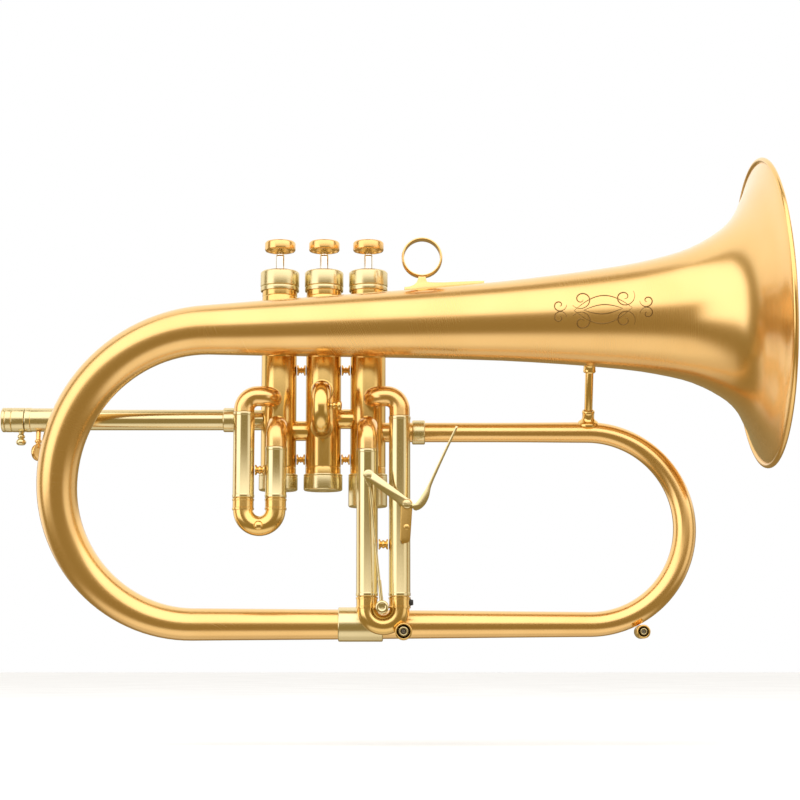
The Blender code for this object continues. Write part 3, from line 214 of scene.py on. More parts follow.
def flat(name, outline, front, depth, edge=0.2 * MM):
    """A flat part cut from sheet in the XZ plane: a filled outline given depth."""
    line = bpy.data.curves.new(name, "CURVE")
    line.dimensions = "2D"
    line.fill_mode = "BOTH"
    line.extrude = depth / 2.0 - edge
    line.bevel_depth = edge
    line.bevel_resolution = 1
    line.offset = -edge
    spline = line.splines.new("POLY")
    spline.points.add(len(outline) - 1)
    spline.use_cyclic_u = True
    for knot, (x, z) in zip(spline.points, outline):
        knot.co = (x, z, 0.0, 1.0)
    obj = bpy.data.objects.new(name, line)
    bpy.context.collection.objects.link(obj)
    pick(obj)
    bpy.ops.object.convert(target="MESH")
    obj = bpy.context.object
    modify(obj, "WELD", merge_threshold=1e-6)
    settle(obj, Matrix.Translation((0, front + depth / 2.0, 0))
           @ Matrix.Rotation(math.pi / 2, 4, "X"))
    outward(obj)
    smooth(obj)
    return obj


def cut(obj, cutter, operation="DIFFERENCE"):
    """Take a cutter from a piece, or join it on, and throw the cutter out."""
    modify(obj, "BOOLEAN", operation=operation, solver="EXACT", object=cutter)
    bpy.data.objects.remove(cutter)
    smooth(obj)


def finish(obj, material, body=HORN, nodes=()):
    """Give a piece its surface, its body and the CAD nodes that it stands for."""
    obj.data.materials.clear()
    obj.data.materials.append(material)
    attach(obj, body)
    if nodes:
        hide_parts(*nodes)
    return obj


# ---------------------------------------------------------------- lines and outlines

def in_mm(*pairs):
    """Pairs of sizes in millimetres, as metres."""
    return [(first * MM, second * MM) for first, second in pairs]


def half_turn(middle, radius, side, steps=40):
    """Points of a half circle in the XZ plane that hangs below its middle."""
    return [middle + radius * Vector((side * math.cos(math.pi * step / steps), 0.0,
                                      -math.sin(math.pi * step / steps)))
            for step in range(steps + 1)]


def bent(corners, bends, steps=12):
    """A line through corners, each rounded to its bend radius."""
    out = [Vector(corners[0])]
    for before, corner, after, bend in zip(corners, corners[1:], corners[2:], bends):
        corner = Vector(corner)
        back = (Vector(before) - corner).normalized()
        ahead = (Vector(after) - corner).normalized()
        half = back.angle(ahead) / 2.0
        centre = corner + (back + ahead).normalized() * (bend / math.sin(half))
        start = corner + back * (bend / math.tan(half)) - centre
        end = corner + ahead * (bend / math.tan(half)) - centre
        turn = start.cross(end).normalized()
        for step in range(steps + 1):
            angle = (math.pi - 2.0 * half) * step / steps
            out.append(centre + Matrix.Rotation(angle, 3, turn) @ start)
    out.append(Vector(corners[-1]))
    return out


def distances(points):
    """How far along its line each point lies."""
    marks = [0.0]
    for near, far in zip(points, points[1:]):
        marks.append(marks[-1] + (Vector(far) - Vector(near)).length)
    return marks


def eased(stations, distance):
    """A smooth value through stations of (distance, value)."""
    if distance <= stations[0][0]:
        return stations[0][1]
    if distance >= stations[-1][0]:
        return stations[-1][1]
    index = max(i for i, station in enumerate(stations[:-1]) if station[0] <= distance)
    (near, low), (far, high) = stations[index], stations[index + 1]
    before = stations[max(index - 1, 0)]
    after = stations[min(index + 2, len(stations) - 1)]
    rise_in = (high - before[1]) / (far - before[0])
    rise_out = (after[1] - low) / (after[0] - near)
    span = far - near
    share = (distance - near) / span
    return ((2 * share ** 3 - 3 * share ** 2 + 1) * low
            + (share ** 3 - 2 * share ** 2 + share) * span * rise_in
            + (3 * share ** 2 - 2 * share ** 3) * high
            + (share ** 3 - share ** 2) * span * rise_out)


def filled_in(points, gap):
    """More points on the long straight parts of a line."""
    out = [Vector(points[0])]
    for point in points[1:]:
        point = Vector(point)
        count = max(1, math.ceil((point - out[-1]).length / gap))
        start = out[-1].copy()
        out += [start.lerp(point, (step + 1) / count) for step in range(count)]
    return out


def steps_on(points, marks, radii, blend=0.12 * MM):
    """A line and its radii where a tube steps from one radius to the next at marks."""
    far = distances(points)
    spots = sorted(set(far) | {mark - blend for mark in marks} | {mark + blend for mark in marks})
    line, sizes = [], []
    for spot in spots:
        index = min(max(i for i, mark in enumerate(far) if mark <= spot + 1e-9), len(far) - 2)
        share = (spot - far[index]) / (far[index + 1] - far[index])
        line.append(Vector(points[index]).lerp(Vector(points[index + 1]), share))
        sizes.append(radii[sum(spot > mark for mark in marks)])
    return line, sizes


def ring(outer, inner, low, high):
    """The outline of a ring or a short sleeve."""
    return [(inner, low), (outer, low), (outer, high), (inner, high)]


def ferrule(outer, inner, low, high):
    """The outline of a ferrule: a plain sleeve with its two ends chamfered."""
    step = 0.45 * MM
    return [(inner, low), (outer - step, low), (outer, low + step), (outer, high - step),
            (outer - step, high), (inner, high)]


def capsule(start, end, start_half, end_half, steps=14):
    """The outline of a flat link with round ends."""
    start, end = Vector(start), Vector(end)
    heading = math.atan2(end.y - start.y, end.x - start.x)
    out = []
    for centre, half, turn in ((start, start_half, math.pi / 2), (end, end_half, -math.pi / 2)):
        for step in range(steps + 1):
            angle = heading + turn + math.pi * step / steps
            out.append((centre.x + half * math.cos(angle), centre.y + half * math.sin(angle)))
    return out


# ---------------------------------------------------------------- surfaces

def links(tree, *pairs):
    """Join sockets in pairs of (from, to)."""
    for start, end in pairs:
        tree.links.new(start, end)


def grain(tree, source, scale, detail, low, high):
    """Noise stretched along a direction and mapped to a range of values."""
    nodes = tree.nodes
    mapping = nodes.new("ShaderNodeMapping")
    mapping.inputs["Scale"].default_value = scale
    noise = nodes.new("ShaderNodeTexNoise")
    noise.inputs["Scale"].default_value = 1.0
    noise.inputs["Detail"].default_value = detail
    reach = nodes.new("ShaderNodeMapRange")
    reach.inputs["From Min"].default_value = 0.3
    reach.inputs["From Max"].default_value = 0.7
    reach.inputs["To Min"].default_value = low
    reach.inputs["To Max"].default_value = high
    links(tree, (source, mapping.inputs["Vector"]),
          (mapping.outputs["Vector"], noise.inputs["Vector"]),
          (noise.outputs["Fac"], reach.inputs["Value"]))
    return reach.outputs["Result"]


def metal(name, colour, aged, roughness, spread, lines, relief=0.10, coat=0.0, turning=False):
    """Metal with fine tool lines, an uneven polish and slightly uneven colour.

    lines is how dense the tool marks are along each axis, in marks per metre.
    """
    material = bpy.data.materials.new(name)
    material.use_nodes = True
    tree = material.node_tree
    shader = tree.nodes["Principled BSDF"]
    shader.inputs["Metallic"].default_value = 1.0
    shader.inputs["Coat Weight"].default_value = coat
    shader.inputs["Coat Roughness"].default_value = 0.12
    place = tree.nodes.new("ShaderNodeTexCoord")
    source = place.outputs["UV"] if turning else place.outputs["Object"]
    marks = grain(tree, source, lines, 2.0, 0.0, 1.0)
    patches = grain(tree, place.outputs["Object"], (26, 26, 26), 2.0, 0.0, 1.0)
    tint = tree.nodes.new("ShaderNodeMix")
    tint.data_type = "RGBA"
    tint.inputs[6].default_value = (*colour, 1.0)
    tint.inputs[7].default_value = (*aged, 1.0)
    polish = tree.nodes.new("ShaderNodeMapRange")
    polish.inputs["To Min"].default_value = roughness - spread
    polish.inputs["To Max"].default_value = roughness + spread
    blend = tree.nodes.new("ShaderNodeMath")
    blend.operation = "MULTIPLY_ADD"
    blend.inputs[1].default_value = 0.5
    half = tree.nodes.new("ShaderNodeMath")
    half.operation = "MULTIPLY"
    half.inputs[1].default_value = 0.5
    bump = tree.nodes.new("ShaderNodeBump")
    bump.inputs["Strength"].default_value = relief
    bump.inputs["Distance"].default_value = 0.02 * MM
    links(tree, (patches, tint.inputs[0]), (tint.outputs[2], shader.inputs["Base Color"]),
          (marks, half.inputs[0]), (patches, blend.inputs[0]),
          (half.outputs[0], blend.inputs[2]), (blend.outputs[0], polish.inputs["Value"]),
          (polish.outputs["Result"], shader.inputs["Roughness"]),
          (marks, bump.inputs["Height"]), (bump.outputs["Normal"], shader.inputs["Normal"]))
    return material


def plain(name, colour, roughness, fleck):
    """Rubber and the studio floor: uneven colour and a soft fine relief."""
    material = bpy.data.materials.new(name)
    material.use_nodes = True
    tree = material.node_tree
    shader = tree.nodes["Principled BSDF"]
    shader.inputs["Roughness"].default_value = roughness
    place = tree.nodes.new("ShaderNodeTexCoord")
    value = grain(tree, place.outputs["Object"], (fleck, fleck, fleck), 3.0, 0.0, 1.0)
    tint = tree.nodes.new("ShaderNodeMix")
    tint.data_type = "RGBA"
    tint.inputs[6].default_value = (*colour, 1.0)
    tint.inputs[7].default_value = (*[part * 0.93 for part in colour], 1.0)
    bump = tree.nodes.new("ShaderNodeBump")
    bump.inputs["Strength"].default_value = 0.15
    bump.inputs["Distance"].default_value = 0.05 * MM
    links(tree, (value, tint.inputs[0]), (tint.outputs[2], shader.inputs["Base Color"]),
          (value, bump.inputs["Height"]), (bump.outputs["Normal"], shader.inputs["Normal"]))
    return material


GOLD_COLOUR = (0.93, 0.62, 0.25)
GOLD_AGED = (0.89, 0.57, 0.21)
BRASS_COLOUR = (0.90, 0.64, 0.25)
BRASS_AGED = (0.84, 0.57, 0.20)
NICKEL_COLOUR = (0.82, 0.72, 0.44)
NICKEL_AGED = (0.75, 0.64, 0.36)
ALONG_X = (25.0, 2600.0, 2600.0)
ALONG_Z = (2600.0, 2600.0, 25.0)
ALONG_TUBE = (22.0, 130.0, 1.0)
ALONG_BELL = (22.0, 260.0, 1.0)
ROUND_RINGS = (5200.0, 3.0, 1.0)

gold = metal("satin_gold", GOLD_COLOUR, GOLD_AGED, 0.24, 0.04, ALONG_X, 0.05, 0.8)
gold_bow = metal("satin_gold_bow", GOLD_COLOUR, GOLD_AGED, 0.23, 0.04, ALONG_TUBE, 0.05, 0.8,
                 True)
gold_bell = metal("satin_gold_bell", GOLD_COLOUR, GOLD_AGED, 0.25, 0.04, ALONG_BELL, 0.05, 0.8,
                  True)
gold_turned = metal("turned_gold", GOLD_COLOUR, GOLD_AGED, 0.20, 0.05, ROUND_RINGS, 0.10, 0.25,
                    True)
brass = metal("brass_casings", BRASS_COLOUR, BRASS_AGED, 0.19, 0.04, ALONG_Z, 0.05, 0.20)
brass_drawn = metal("brass_bows", BRASS_COLOUR, BRASS_AGED, 0.17, 0.04, ALONG_TUBE, 0.05, 0.20,
                    True)
brass_turned = metal("turned_brass", BRASS_COLOUR, BRASS_AGED, 0.17, 0.05, ROUND_RINGS, 0.08,
                     0.20, True)
nickel = metal("nickel_plates", NICKEL_COLOUR, NICKEL_AGED, 0.17, 0.04, ALONG_Z, 0.05)
nickel_along = metal("nickel_leadpipe", NICKEL_COLOUR, NICKEL_AGED, 0.17, 0.04, ALONG_X, 0.05)
nickel_turned = metal("turned_nickel", NICKEL_COLOUR, NICKEL_AGED, 0.24, 0.06, ROUND_RINGS,
                      0.12, 0.0, True)
polished = metal("polished_stems", (0.86, 0.86, 0.84), (0.80, 0.80, 0.77), 0.09, 0.04,
                 ROUND_RINGS, 0.03, 0.0, True)
wire = metal("spring_wire", (0.56, 0.55, 0.53), (0.42, 0.41, 0.39), 0.33, 0.07, ALONG_Z, 0.10)
dark = metal("dark_steel", (0.20, 0.18, 0.14), (0.13, 0.12, 0.10), 0.34, 0.08, ROUND_RINGS,
             0.12, 0.0, True)
engraved = metal("engraved_line", (0.30, 0.18, 0.06), (0.24, 0.14, 0.05), 0.5, 0.06, ALONG_X,
                 0.05)
rubber = plain("black_rubber", (0.02, 0.019, 0.018), 0.55, 900.0)
floor_paint = plain("pale_floor", (0.90, 0.90, 0.89), 0.75, 8.0)


# ---------------------------------------------------------------- bell and bows

BOW_BEND_X = 143.25 * MM
LEFT_BOW_END_X = -141.3 * MM
LEFT_BOW_DROP = 5.6 * MM
RIM_X = 236.2 * MM
RIM_RADIUS = 82.5 * MM
RIM_BEAD = 1.45 * MM
BELL_WALL = 0.6 * MM
TAIL_X = 20.4 * MM
TAIL_RADIUS = 7.95 * MM
FLARE = ((1.0, 80.9), (2.2, 79.4), (3.4, 76.6), (5.5, 70.6), (9.0, 63.4), (13.0, 55.6),
         (18.0, 49.2), (24.0, 44.3), (34.0, 38.5), (45.0, 34.1), (67.0, 29.1), (88.0, 26.2),
         (109.0, 23.9), (141.0, 21.1), (189.0, 18.3), (269.0, 14.65))
LEFT_BOW_RADII = (13.25 * MM, 11.9 * MM, 10.85 * MM, 9.75 * MM, 8.65 * MM)


def bell_axis_z(x):
    """The height of the bell's straight axis."""
    return BELL_AXIS_Z + BELL_RISE * x


def bell_line(parts=56):
    """From the rim, down the bell, round the left bow and along to the tail."""
    slant = math.sqrt(1.0 + BELL_RISE ** 2)
    middle = (bell_axis_z(LEFT_BOW_END_X + 80.0 * MM) + BRANCH_Z) / 2.0 - LEFT_BOW_DROP
    low = middle - BRANCH_Z
    high = (bell_axis_z(LEFT_BOW_END_X) - middle) / (slant - BELL_RISE)
    first = math.pi / 2 + math.atan(BELL_RISE)
    points = [Vector((RIM_X, BELL_Y, bell_axis_z(RIM_X)))]
    for step in range(parts + 1):
        share = step / parts
        angle = first + (1.5 * math.pi - first) * share
        radius = high if angle < math.pi else low
        points.append(Vector((LEFT_BOW_END_X + radius + radius * math.cos(angle),
                              BELL_Y * (1.0 + math.cos(math.pi * share)) / 2.0,
                              middle + radius * math.sin(angle))))
    points.append(Vector((TAIL_X, 0.0, BRANCH_Z)))
    return points


def bell_stations(points):
    """The bell's outer radius at distances from its rim."""
    far = distances(points)
    bow_start, bow_end = far[1], far[-2]
    stations = [(place * MM, radius * MM) for place, radius in FLARE]
    for index, radius in enumerate(LEFT_BOW_RADII):
        share = index / (len(LEFT_BOW_RADII) - 1)
        stations.append((bow_start + (bow_end - bow_start) * share, radius))
    stations.append((far[-1], TAIL_RADIUS))
    return stations


def bell_shape(grow=0.0):
    """The bell's line with close steps in the flare, and the radius at each."""
    points = bell_line()
    stations = bell_stations(points)
    far = distances(points)
    closer = [mark * MM for mark in (1.0, 1.5, 2.2, 2.8, 3.4, 4.3, 5.5, 7.0, 9.0, 11.0, 13.0,
                                     15.5, 18.0, 21.0, 24.0, 29.0, 34.0, 40.0, 45.0, 52.0,
                                     60.0, 67.0, 77.0, 88.0, 98.0, 109.0, 125.0, 141.0, 165.0,
                                     189.0, 229.0, 269.0)]
    heading = (points[1] - points[0]).normalized()
    line = [points[0] + heading * mark for mark in closer] + points[1:]
    marks = closer + far[1:]
    return line, [eased(stations, mark) + grow for mark in marks]


def bell_radius_at(x):
    """The bell's outer radius near the straight axis at an X."""
    return eased(bell_stations(bell_line()), (RIM_X - x) * math.sqrt(1.0 + BELL_RISE ** 2))


def make_bell():
    """The bell as one spun sheet down to its tail, and the rolled rim round it."""
    line, radii = bell_shape()
    finish(drawn("bell_sheet", line, radii, BELL_WALL, 128), gold_bell,
           nodes=["bell"])
    circle = [(RIM_RADIUS - RIM_BEAD + RIM_BEAD * math.cos(math.tau * step / 16),
               RIM_BEAD * math.sin(math.tau * step / 16)) for step in range(16)]
    heading = Vector((1.0, 0.0, BELL_RISE)).normalized()
    at = Vector((RIM_X, BELL_Y, bell_axis_z(RIM_X))) - heading * RIM_BEAD
    bead = turned("bell_rim", circle, heading, at, 0.02 * MM, True, 160)
    finish(bead, gold_turned)


def main_bow_shape(grow=0.0, parts=72):
    """The right-hand bow's line and the radius at each step."""
    bend = (BOW_TOP_Z - BRANCH_Z) / 2.0
    points = [Vector((VALVE_PITCH + 8.0 * MM, 0.0, BOW_TOP_Z))]
    for step in range(parts + 1):
        angle = math.pi / 2 - math.pi * step / parts
        points.append(Vector((BOW_BEND_X + bend * math.cos(angle), 0.0,
                              BRANCH_Z + bend + bend * math.sin(angle))))
    points.append(Vector((TAIL_X + 0.3 * MM, 0.0, BRANCH_Z)))
    far = distances(points)
    start, end = far[1], far[-2]
    stations = [(0.0, 5.35 * MM), (start * 0.6, 5.35 * MM), (start, 5.65 * MM),
                ((start + end) / 2.0, 6.12 * MM), (end, 6.67 * MM), (far[-1], 7.85 * MM)]
    points = filled_in(points, 8.0 * MM)
    return points, [eased(stations, mark) + grow for mark in distances(points)]


def make_main_bow():
    """The right-hand bow with the ferrule at each end."""
    line, radii = main_bow_shape()
    finish(drawn("main_bow_tube", line, radii, BELL_WALL, 56), gold_bow,
           nodes=["main_bow"])
    small = ferrule(6.6 * MM, 5.65 * MM, 48.2 * MM, 55.2 * MM)
    piece = turned("bow_ferrule_ring", small, X_AXIS, (0, 0, BOW_TOP_Z), 0.3 * MM, True)
    finish(piece, nickel_turned, nodes=["bow_ferrule"])
    wide = ferrule(9.2 * MM, 8.25 * MM, 8.6 * MM, 32.5 * MM)
    piece = turned("bell_ferrule_ring", wide, X_AXIS, (0, 0, BRANCH_Z), 0.3 * MM, True)
    finish(piece, nickel_turned, nodes=["bell_ferrule"])


def make_brace():
    """The brace from the main bow to the bell: a rod in two turned sockets."""
    foot = Vector((143.6 * MM, 0.0, BOW_TOP_Z))
    head = Vector((143.6 * MM, -17.0 * MM, bell_axis_z(143.6 * MM) - 18.0 * MM))
    along, length = (head - foot).normalized(), (head - foot).length
    low, high = 5.95 * MM + 3.2 * MM, length - 6.5 * MM
    rod = turned("brace_rod_bar", [(0, low), (2.2 * MM, low), (2.2 * MM, high), (0, high)],
                 along, foot)
    finish(rod, brass_turned, nodes=["brace_rod"])
    seat = 2.5 * MM
    cup = [(seat, low - 0.3 * MM), (seat, 12.45 * MM), (3.2 * MM, 12.45 * MM), (3.45 * MM, 11.4 * MM),
           (3.2 * MM, 10.6 * MM), (3.2 * MM, 8.2 * MM), (3.9 * MM, 7.0 * MM), (5.3 * MM, 6.0 * MM),
           (5.8 * MM, 4.6 * MM), (TIP, 4.6 * MM), (TIP, low - 0.3 * MM)]
    socket = turned("brace_foot", cup, along, foot, 0.3 * MM, True)
    cut(socket, drawn("bow_trimmer", *main_bow_shape(0.12 * MM), sides=56))
    finish(socket, brass_turned, nodes=["brace_bow_socket"])
    cup = [(TIP, high + 0.3 * MM), (seat, high + 0.3 * MM), (seat, high - 3.0 * MM),
           (3.2 * MM, high - 3.0 * MM), (3.45 * MM, high - 2.0 * MM), (3.2 * MM, high - 1.2 * MM),
           (3.2 * MM, high + 0.6 * MM), (3.8 * MM, high + 2.0 * MM), (4.6 * MM, high + 3.2 * MM),
           (4.6 * MM, length), (TIP, length)]
    socket = turned("brace_head", cup, along, foot, 0.3 * MM, True)
    cut(socket, drawn("bell_trimmer", *bell_shape(0.12 * MM), sides=128))
    finish(socket, brass_turned, nodes=["brace_bell_socket"])


def make_finger_ring():
    """The finger ring with its saddle foot, and the long tapered plate beside it."""
    x, z = 53.4 * MM, 83.75 * MM
    band = [(9.6 * MM, -3.25 * MM), (10.5 * MM, -3.25 * MM), (10.9 * MM, -1.6 * MM),
            (10.9 * MM, 1.6 * MM), (10.5 * MM, 3.25 * MM), (9.6 * MM, 3.25 * MM),
            (9.75 * MM, 0.0)]
    hoop = turned("finger_ring_hoop", band, Y_AXIS, (x, BELL_Y, z), 0.3 * MM, True, 96)
    finish(hoop, gold_turned, nodes=["finger_ring"])
    low = bell_axis_z(x)
    outline = [(44.0, 0.0), (86.5, 0.0), (86.5, 22.7), (80.0, 22.5), (72.0, 22.15),
               (65.4, 21.85), (60.0, 21.8), (57.4, 21.9), (56.0, 22.2), (55.5, 23.6),
               (55.3, 25.5), (51.5, 25.5), (51.2, 23.6), (50.6, 22.0), (49.2, 20.6),
               (46.8, 19.6), (44.0, 19.2)]
    shape = [(px * MM, low + pz * MM) for px, pz in outline]
    saddle = flat("finger_ring_saddle", shape, BELL_Y - 2.7 * MM, 5.4 * MM, 0.3 * MM)
    cut(saddle, drawn("saddle_trimmer", *bell_shape(0.1 * MM), sides=128))
    finish(saddle, gold)


def scroll(centre, start_size, turns, facing, lean):
    """Points of one spiral scroll in the plane of (along, around), in metres."""
    out = []
    for step in range(49):
        share = step / 48
        angle = lean + facing * math.tau * turns * share
        size = start_size * (1.0 - 0.86 * share)
        out.append((centre[0] + size * math.cos(angle), centre[1] + size * math.sin(angle)))
    return out


def engrave(name, points, width):
    """A hair-thin engraved line laid on the front of the bell."""
    line, radii = [], []
    count = len(points)
    for index, (x, rise) in enumerate(points):
        radius = bell_radius_at(x)
        angle = rise / radius
        axis = Vector((x, BELL_Y, bell_axis_z(x)))
        line.append(axis + (radius + 0.02 * MM) * Vector((0, -math.cos(angle), math.sin(angle))))
        radii.append(width * (0.35 + 0.65 * math.sin(math.pi * (index + 0.5) / count)))
    finish(drawn(name, line, radii, 0.0, 8), engraved)


def make_engraving():
    """A plain scroll ornament: four spirals either side of a centre leaf."""
    middle = 147.0 * MM
    number = 0
    for side in (-1, 1):
        for level, lift in ((-1, -6.0), (1, 6.0)):
            near = scroll((middle + side * 11.0 * MM, lift * MM), 5.6 * MM, 1.35,
                          -side * level, math.pi / 2 * (1 - side) + level * 0.6)
            far = scroll((middle + side * 22.5 * MM, lift * 0.55 * MM), 3.8 * MM, 1.2,
                         side * level, math.pi / 2 * (1 - side) + math.pi)
            for points in (near, far):
                number += 1
                engrave(f"scroll_{number}", points, 0.34 * MM)
    for number, (reach, rise) in enumerate(((10.0, 2.4), (10.0, -2.4), (15.0, 7.5), (15.0, -7.5))):
        leaf = []
        for step in range(33):
            share = step / 32
            leaf.append((middle + (2.0 * share - 1.0) * reach * MM,
                         rise * math.sin(math.pi * share) * MM))
        engrave(f"leaf_{number + 1}", leaf, 0.28 * MM)


# ---------------------------------------------------------------- valves

CASING_RADIUS = 9.55 * MM
CASING_BORE = 8.8 * MM
PISTON_RADIUS = 8.5 * MM
CAP_TOP = 82.1 * MM
CAP_LOW = 70.9 * MM
BUTTON_LOW = 93.6 * MM
BUTTON_TOP = 98.9 * MM
BOTTOM_SEAT = -29.7 * MM
BOTTOM_ENDS = {"1": -38.6 * MM, "2": -38.6 * MM, "3": -47.5 * MM}


def make_casing(name, x):
    """A casing tube with a soldered balance band at its foot."""
    low = BOTTOM_ENDS[name] + 2.2 * MM
    outline = [(CASING_BORE, low), (CASING_RADIUS, low), (CASING_RADIUS, -26.4 * MM),
               (CASING_RADIUS - 0.2 * MM, -26.1 * MM), (CASING_RADIUS, -25.8 * MM),
               (CASING_RADIUS, 67.6 * MM), (CASING_RADIUS - 0.2 * MM, 67.9 * MM),
               (CASING_RADIUS, 68.2 * MM), (CASING_RADIUS, 79.9 * MM), (CASING_BORE, 79.9 * MM)]
    tube = turned(f"casing_{name}", outline, Z_AXIS, (x, 0, 0), 0.1 * MM, True, 80)
    finish(tube, brass, nodes=[f"valve_casing_{name}"])


def make_piston(name, x):
    """A piston with its stem, and two of its passages bored through."""
    outline = [(0, -14.0 * MM), (PISTON_RADIUS, -14.0 * MM), (PISTON_RADIUS, 45.0 * MM),
               (2.5 * MM, 45.0 * MM), (2.5 * MM, 90.6 * MM), (2.2 * MM, 91.0 * MM),
               (2.2 * MM, 97.2 * MM), (0, 97.2 * MM)]
    piston = turned(f"piston_and_stem_{name}", outline, Z_AXIS, (x, 0, 0), 0.3 * MM)
    for way, z, start in ((X_AXIS, -6.0 * MM, -20.0 * MM), (-Y_AXIS, 10.4 * MM, 0.2 * MM)):
        bore = turned("passage", [(0, start), (4.3 * MM, start), (4.3 * MM, 20.0 * MM),
                                  (0, 20.0 * MM)], way, (x, 0, z), 0.1 * MM, False, 32)
        cut(piston, bore)
    finish(piston, polished, f"valve_{name}_body", [f"piston_{name}"])


def make_button(name, x):
    """A finger button: dished on top, undercut below round a small boss."""
    outline = [(0, BUTTON_TOP - 1.4 * MM), (3.6 * MM, BUTTON_TOP - 1.4 * MM),
               (4.2 * MM, BUTTON_TOP - 2.2 * MM), (6.9 * MM, BUTTON_LOW + 1.2 * MM),
               (7.2 * MM, BUTTON_LOW), (8.0 * MM, BUTTON_LOW), (8.4 * MM, BUTTON_LOW + 0.7 * MM),
               (8.4 * MM, BUTTON_TOP - 0.9 * MM), (7.8 * MM, BUTTON_TOP - 0.1 * MM),
               (7.0 * MM, BUTTON_TOP), (6.6 * MM, BUTTON_TOP - 0.3 * MM),
               (0, BUTTON_TOP - 0.45 * MM)]
    button = turned(f"button_{name}", outline, Z_AXIS, (x, 0, 0), 0.25 * MM, False, 80)
    finish(button, gold_turned, f"valve_{name}_body",
           [f"finger_button_{name}"])


def make_caps(name, x):
    """The top cap with its step line, and the bottom cap with its grooves and vent."""
    wide = 10.6 * MM
    top = [(9.85 * MM, CAP_LOW), (wide - 0.1 * MM, CAP_LOW), (wide - 0.1 * MM, CAP_LOW + 2.3 * MM),
           (wide - 0.4 * MM, CAP_LOW + 2.55 * MM), (wide, CAP_LOW + 2.8 * MM),
           (wide, CAP_TOP - 0.9 * MM), (wide - 0.9 * MM, CAP_TOP), (4.2 * MM, CAP_TOP),
           (3.9 * MM, CAP_TOP + 0.35 * MM), (2.95 * MM, CAP_TOP + 0.35 * MM),
           (2.95 * MM, CAP_TOP - 1.8 * MM), (9.85 * MM, CAP_TOP - 1.8 * MM)]
    cap = turned(f"upper_cap_{name}", top, Z_AXIS, (x, 0, 0), 0.25 * MM, True, 80)
    finish(cap, nickel_turned, nodes=[f"top_cap_{name}"])
    low = BOTTOM_ENDS[name]
    wide = 10.5 * MM
    base = [(1.2 * MM, low + 0.3 * MM), (3.2 * MM, low + 0.3 * MM), (3.6 * MM, low),
            (wide - 0.6 * MM, low), (wide, low + 0.6 * MM),
            (wide, BOTTOM_SEAT - 1.5 * MM), (wide - 0.25 * MM, BOTTOM_SEAT - 1.3 * MM),
            (wide, BOTTOM_SEAT - 1.1 * MM), (wide, BOTTOM_SEAT - 0.3 * MM),
            (wide - 0.3 * MM, BOTTOM_SEAT), (9.85 * MM, BOTTOM_SEAT), (9.85 * MM, low + 1.8 * MM),
            (1.2 * MM, low + 1.8 * MM)]
    cap = turned(f"lower_cap_{name}", base, Z_AXIS, (x, 0, 0), 0.25 * MM, True, 80)
    finish(cap, nickel_turned, nodes=[f"bottom_cap_{name}"])


def make_valve_braces():
    """Four waisted braces and two crossover tubes between the casings."""
    half = VALVE_PITCH / 2.0 - CASING_RADIUS - 0.3 * MM
    outline = [(0, -half), (2.9 * MM, -half), (2.9 * MM, 0.7 * MM - half),
               (1.7 * MM, 1.1 * MM - half), (1.2 * MM, 1.7 * MM - half), (1.5 * MM, -0.5 * MM),
               (1.9 * MM, 0.0), (1.5 * MM, 0.5 * MM), (1.2 * MM, half - 1.7 * MM),
               (1.7 * MM, half - 1.1 * MM), (2.9 * MM, half - 0.7 * MM), (2.9 * MM, half),
               (0, half)]
    for pair, x in (("12", -VALVE_PITCH / 2.0), ("23", VALVE_PITCH / 2.0)):
        for level, z in (("upper", 27.3 * MM), ("lower", -21.6 * MM)):
            brace = turned(f"brace_{level}_{pair}", outline, X_AXIS, (x, 0, z), 0.2 * MM, False, 40)
            finish(brace, brass_turned, nodes=[f"valve_brace_{level}_{pair}"])
    reach = VALVE_PITCH / 2.0 - CASING_RADIUS + 1.6 * MM
    for pair, x, z in (("12", -VALVE_PITCH / 2.0, -6.0 * MM), ("23", VALVE_PITCH / 2.0, 0.5 * MM)):
        outline = [(4.9 * MM, -reach), (5.4 * MM, -reach), (5.4 * MM, reach), (4.9 * MM, reach)]
        tube = turned(f"crossover_tube_{pair}", outline, X_AXIS, (x, 0, z), 0.05 * MM, True)
        finish(tube, brass_turned, nodes=[f"crossover_{pair}"])


def make_valves():
    """The three valves and what joins them."""
    for name, x in VALVES:
        make_casing(name, x)
        make_piston(name, x)
        make_button(name, x)
        make_caps(name, x)
    make_valve_braces()


# ---------------------------------------------------------------- leadpipe

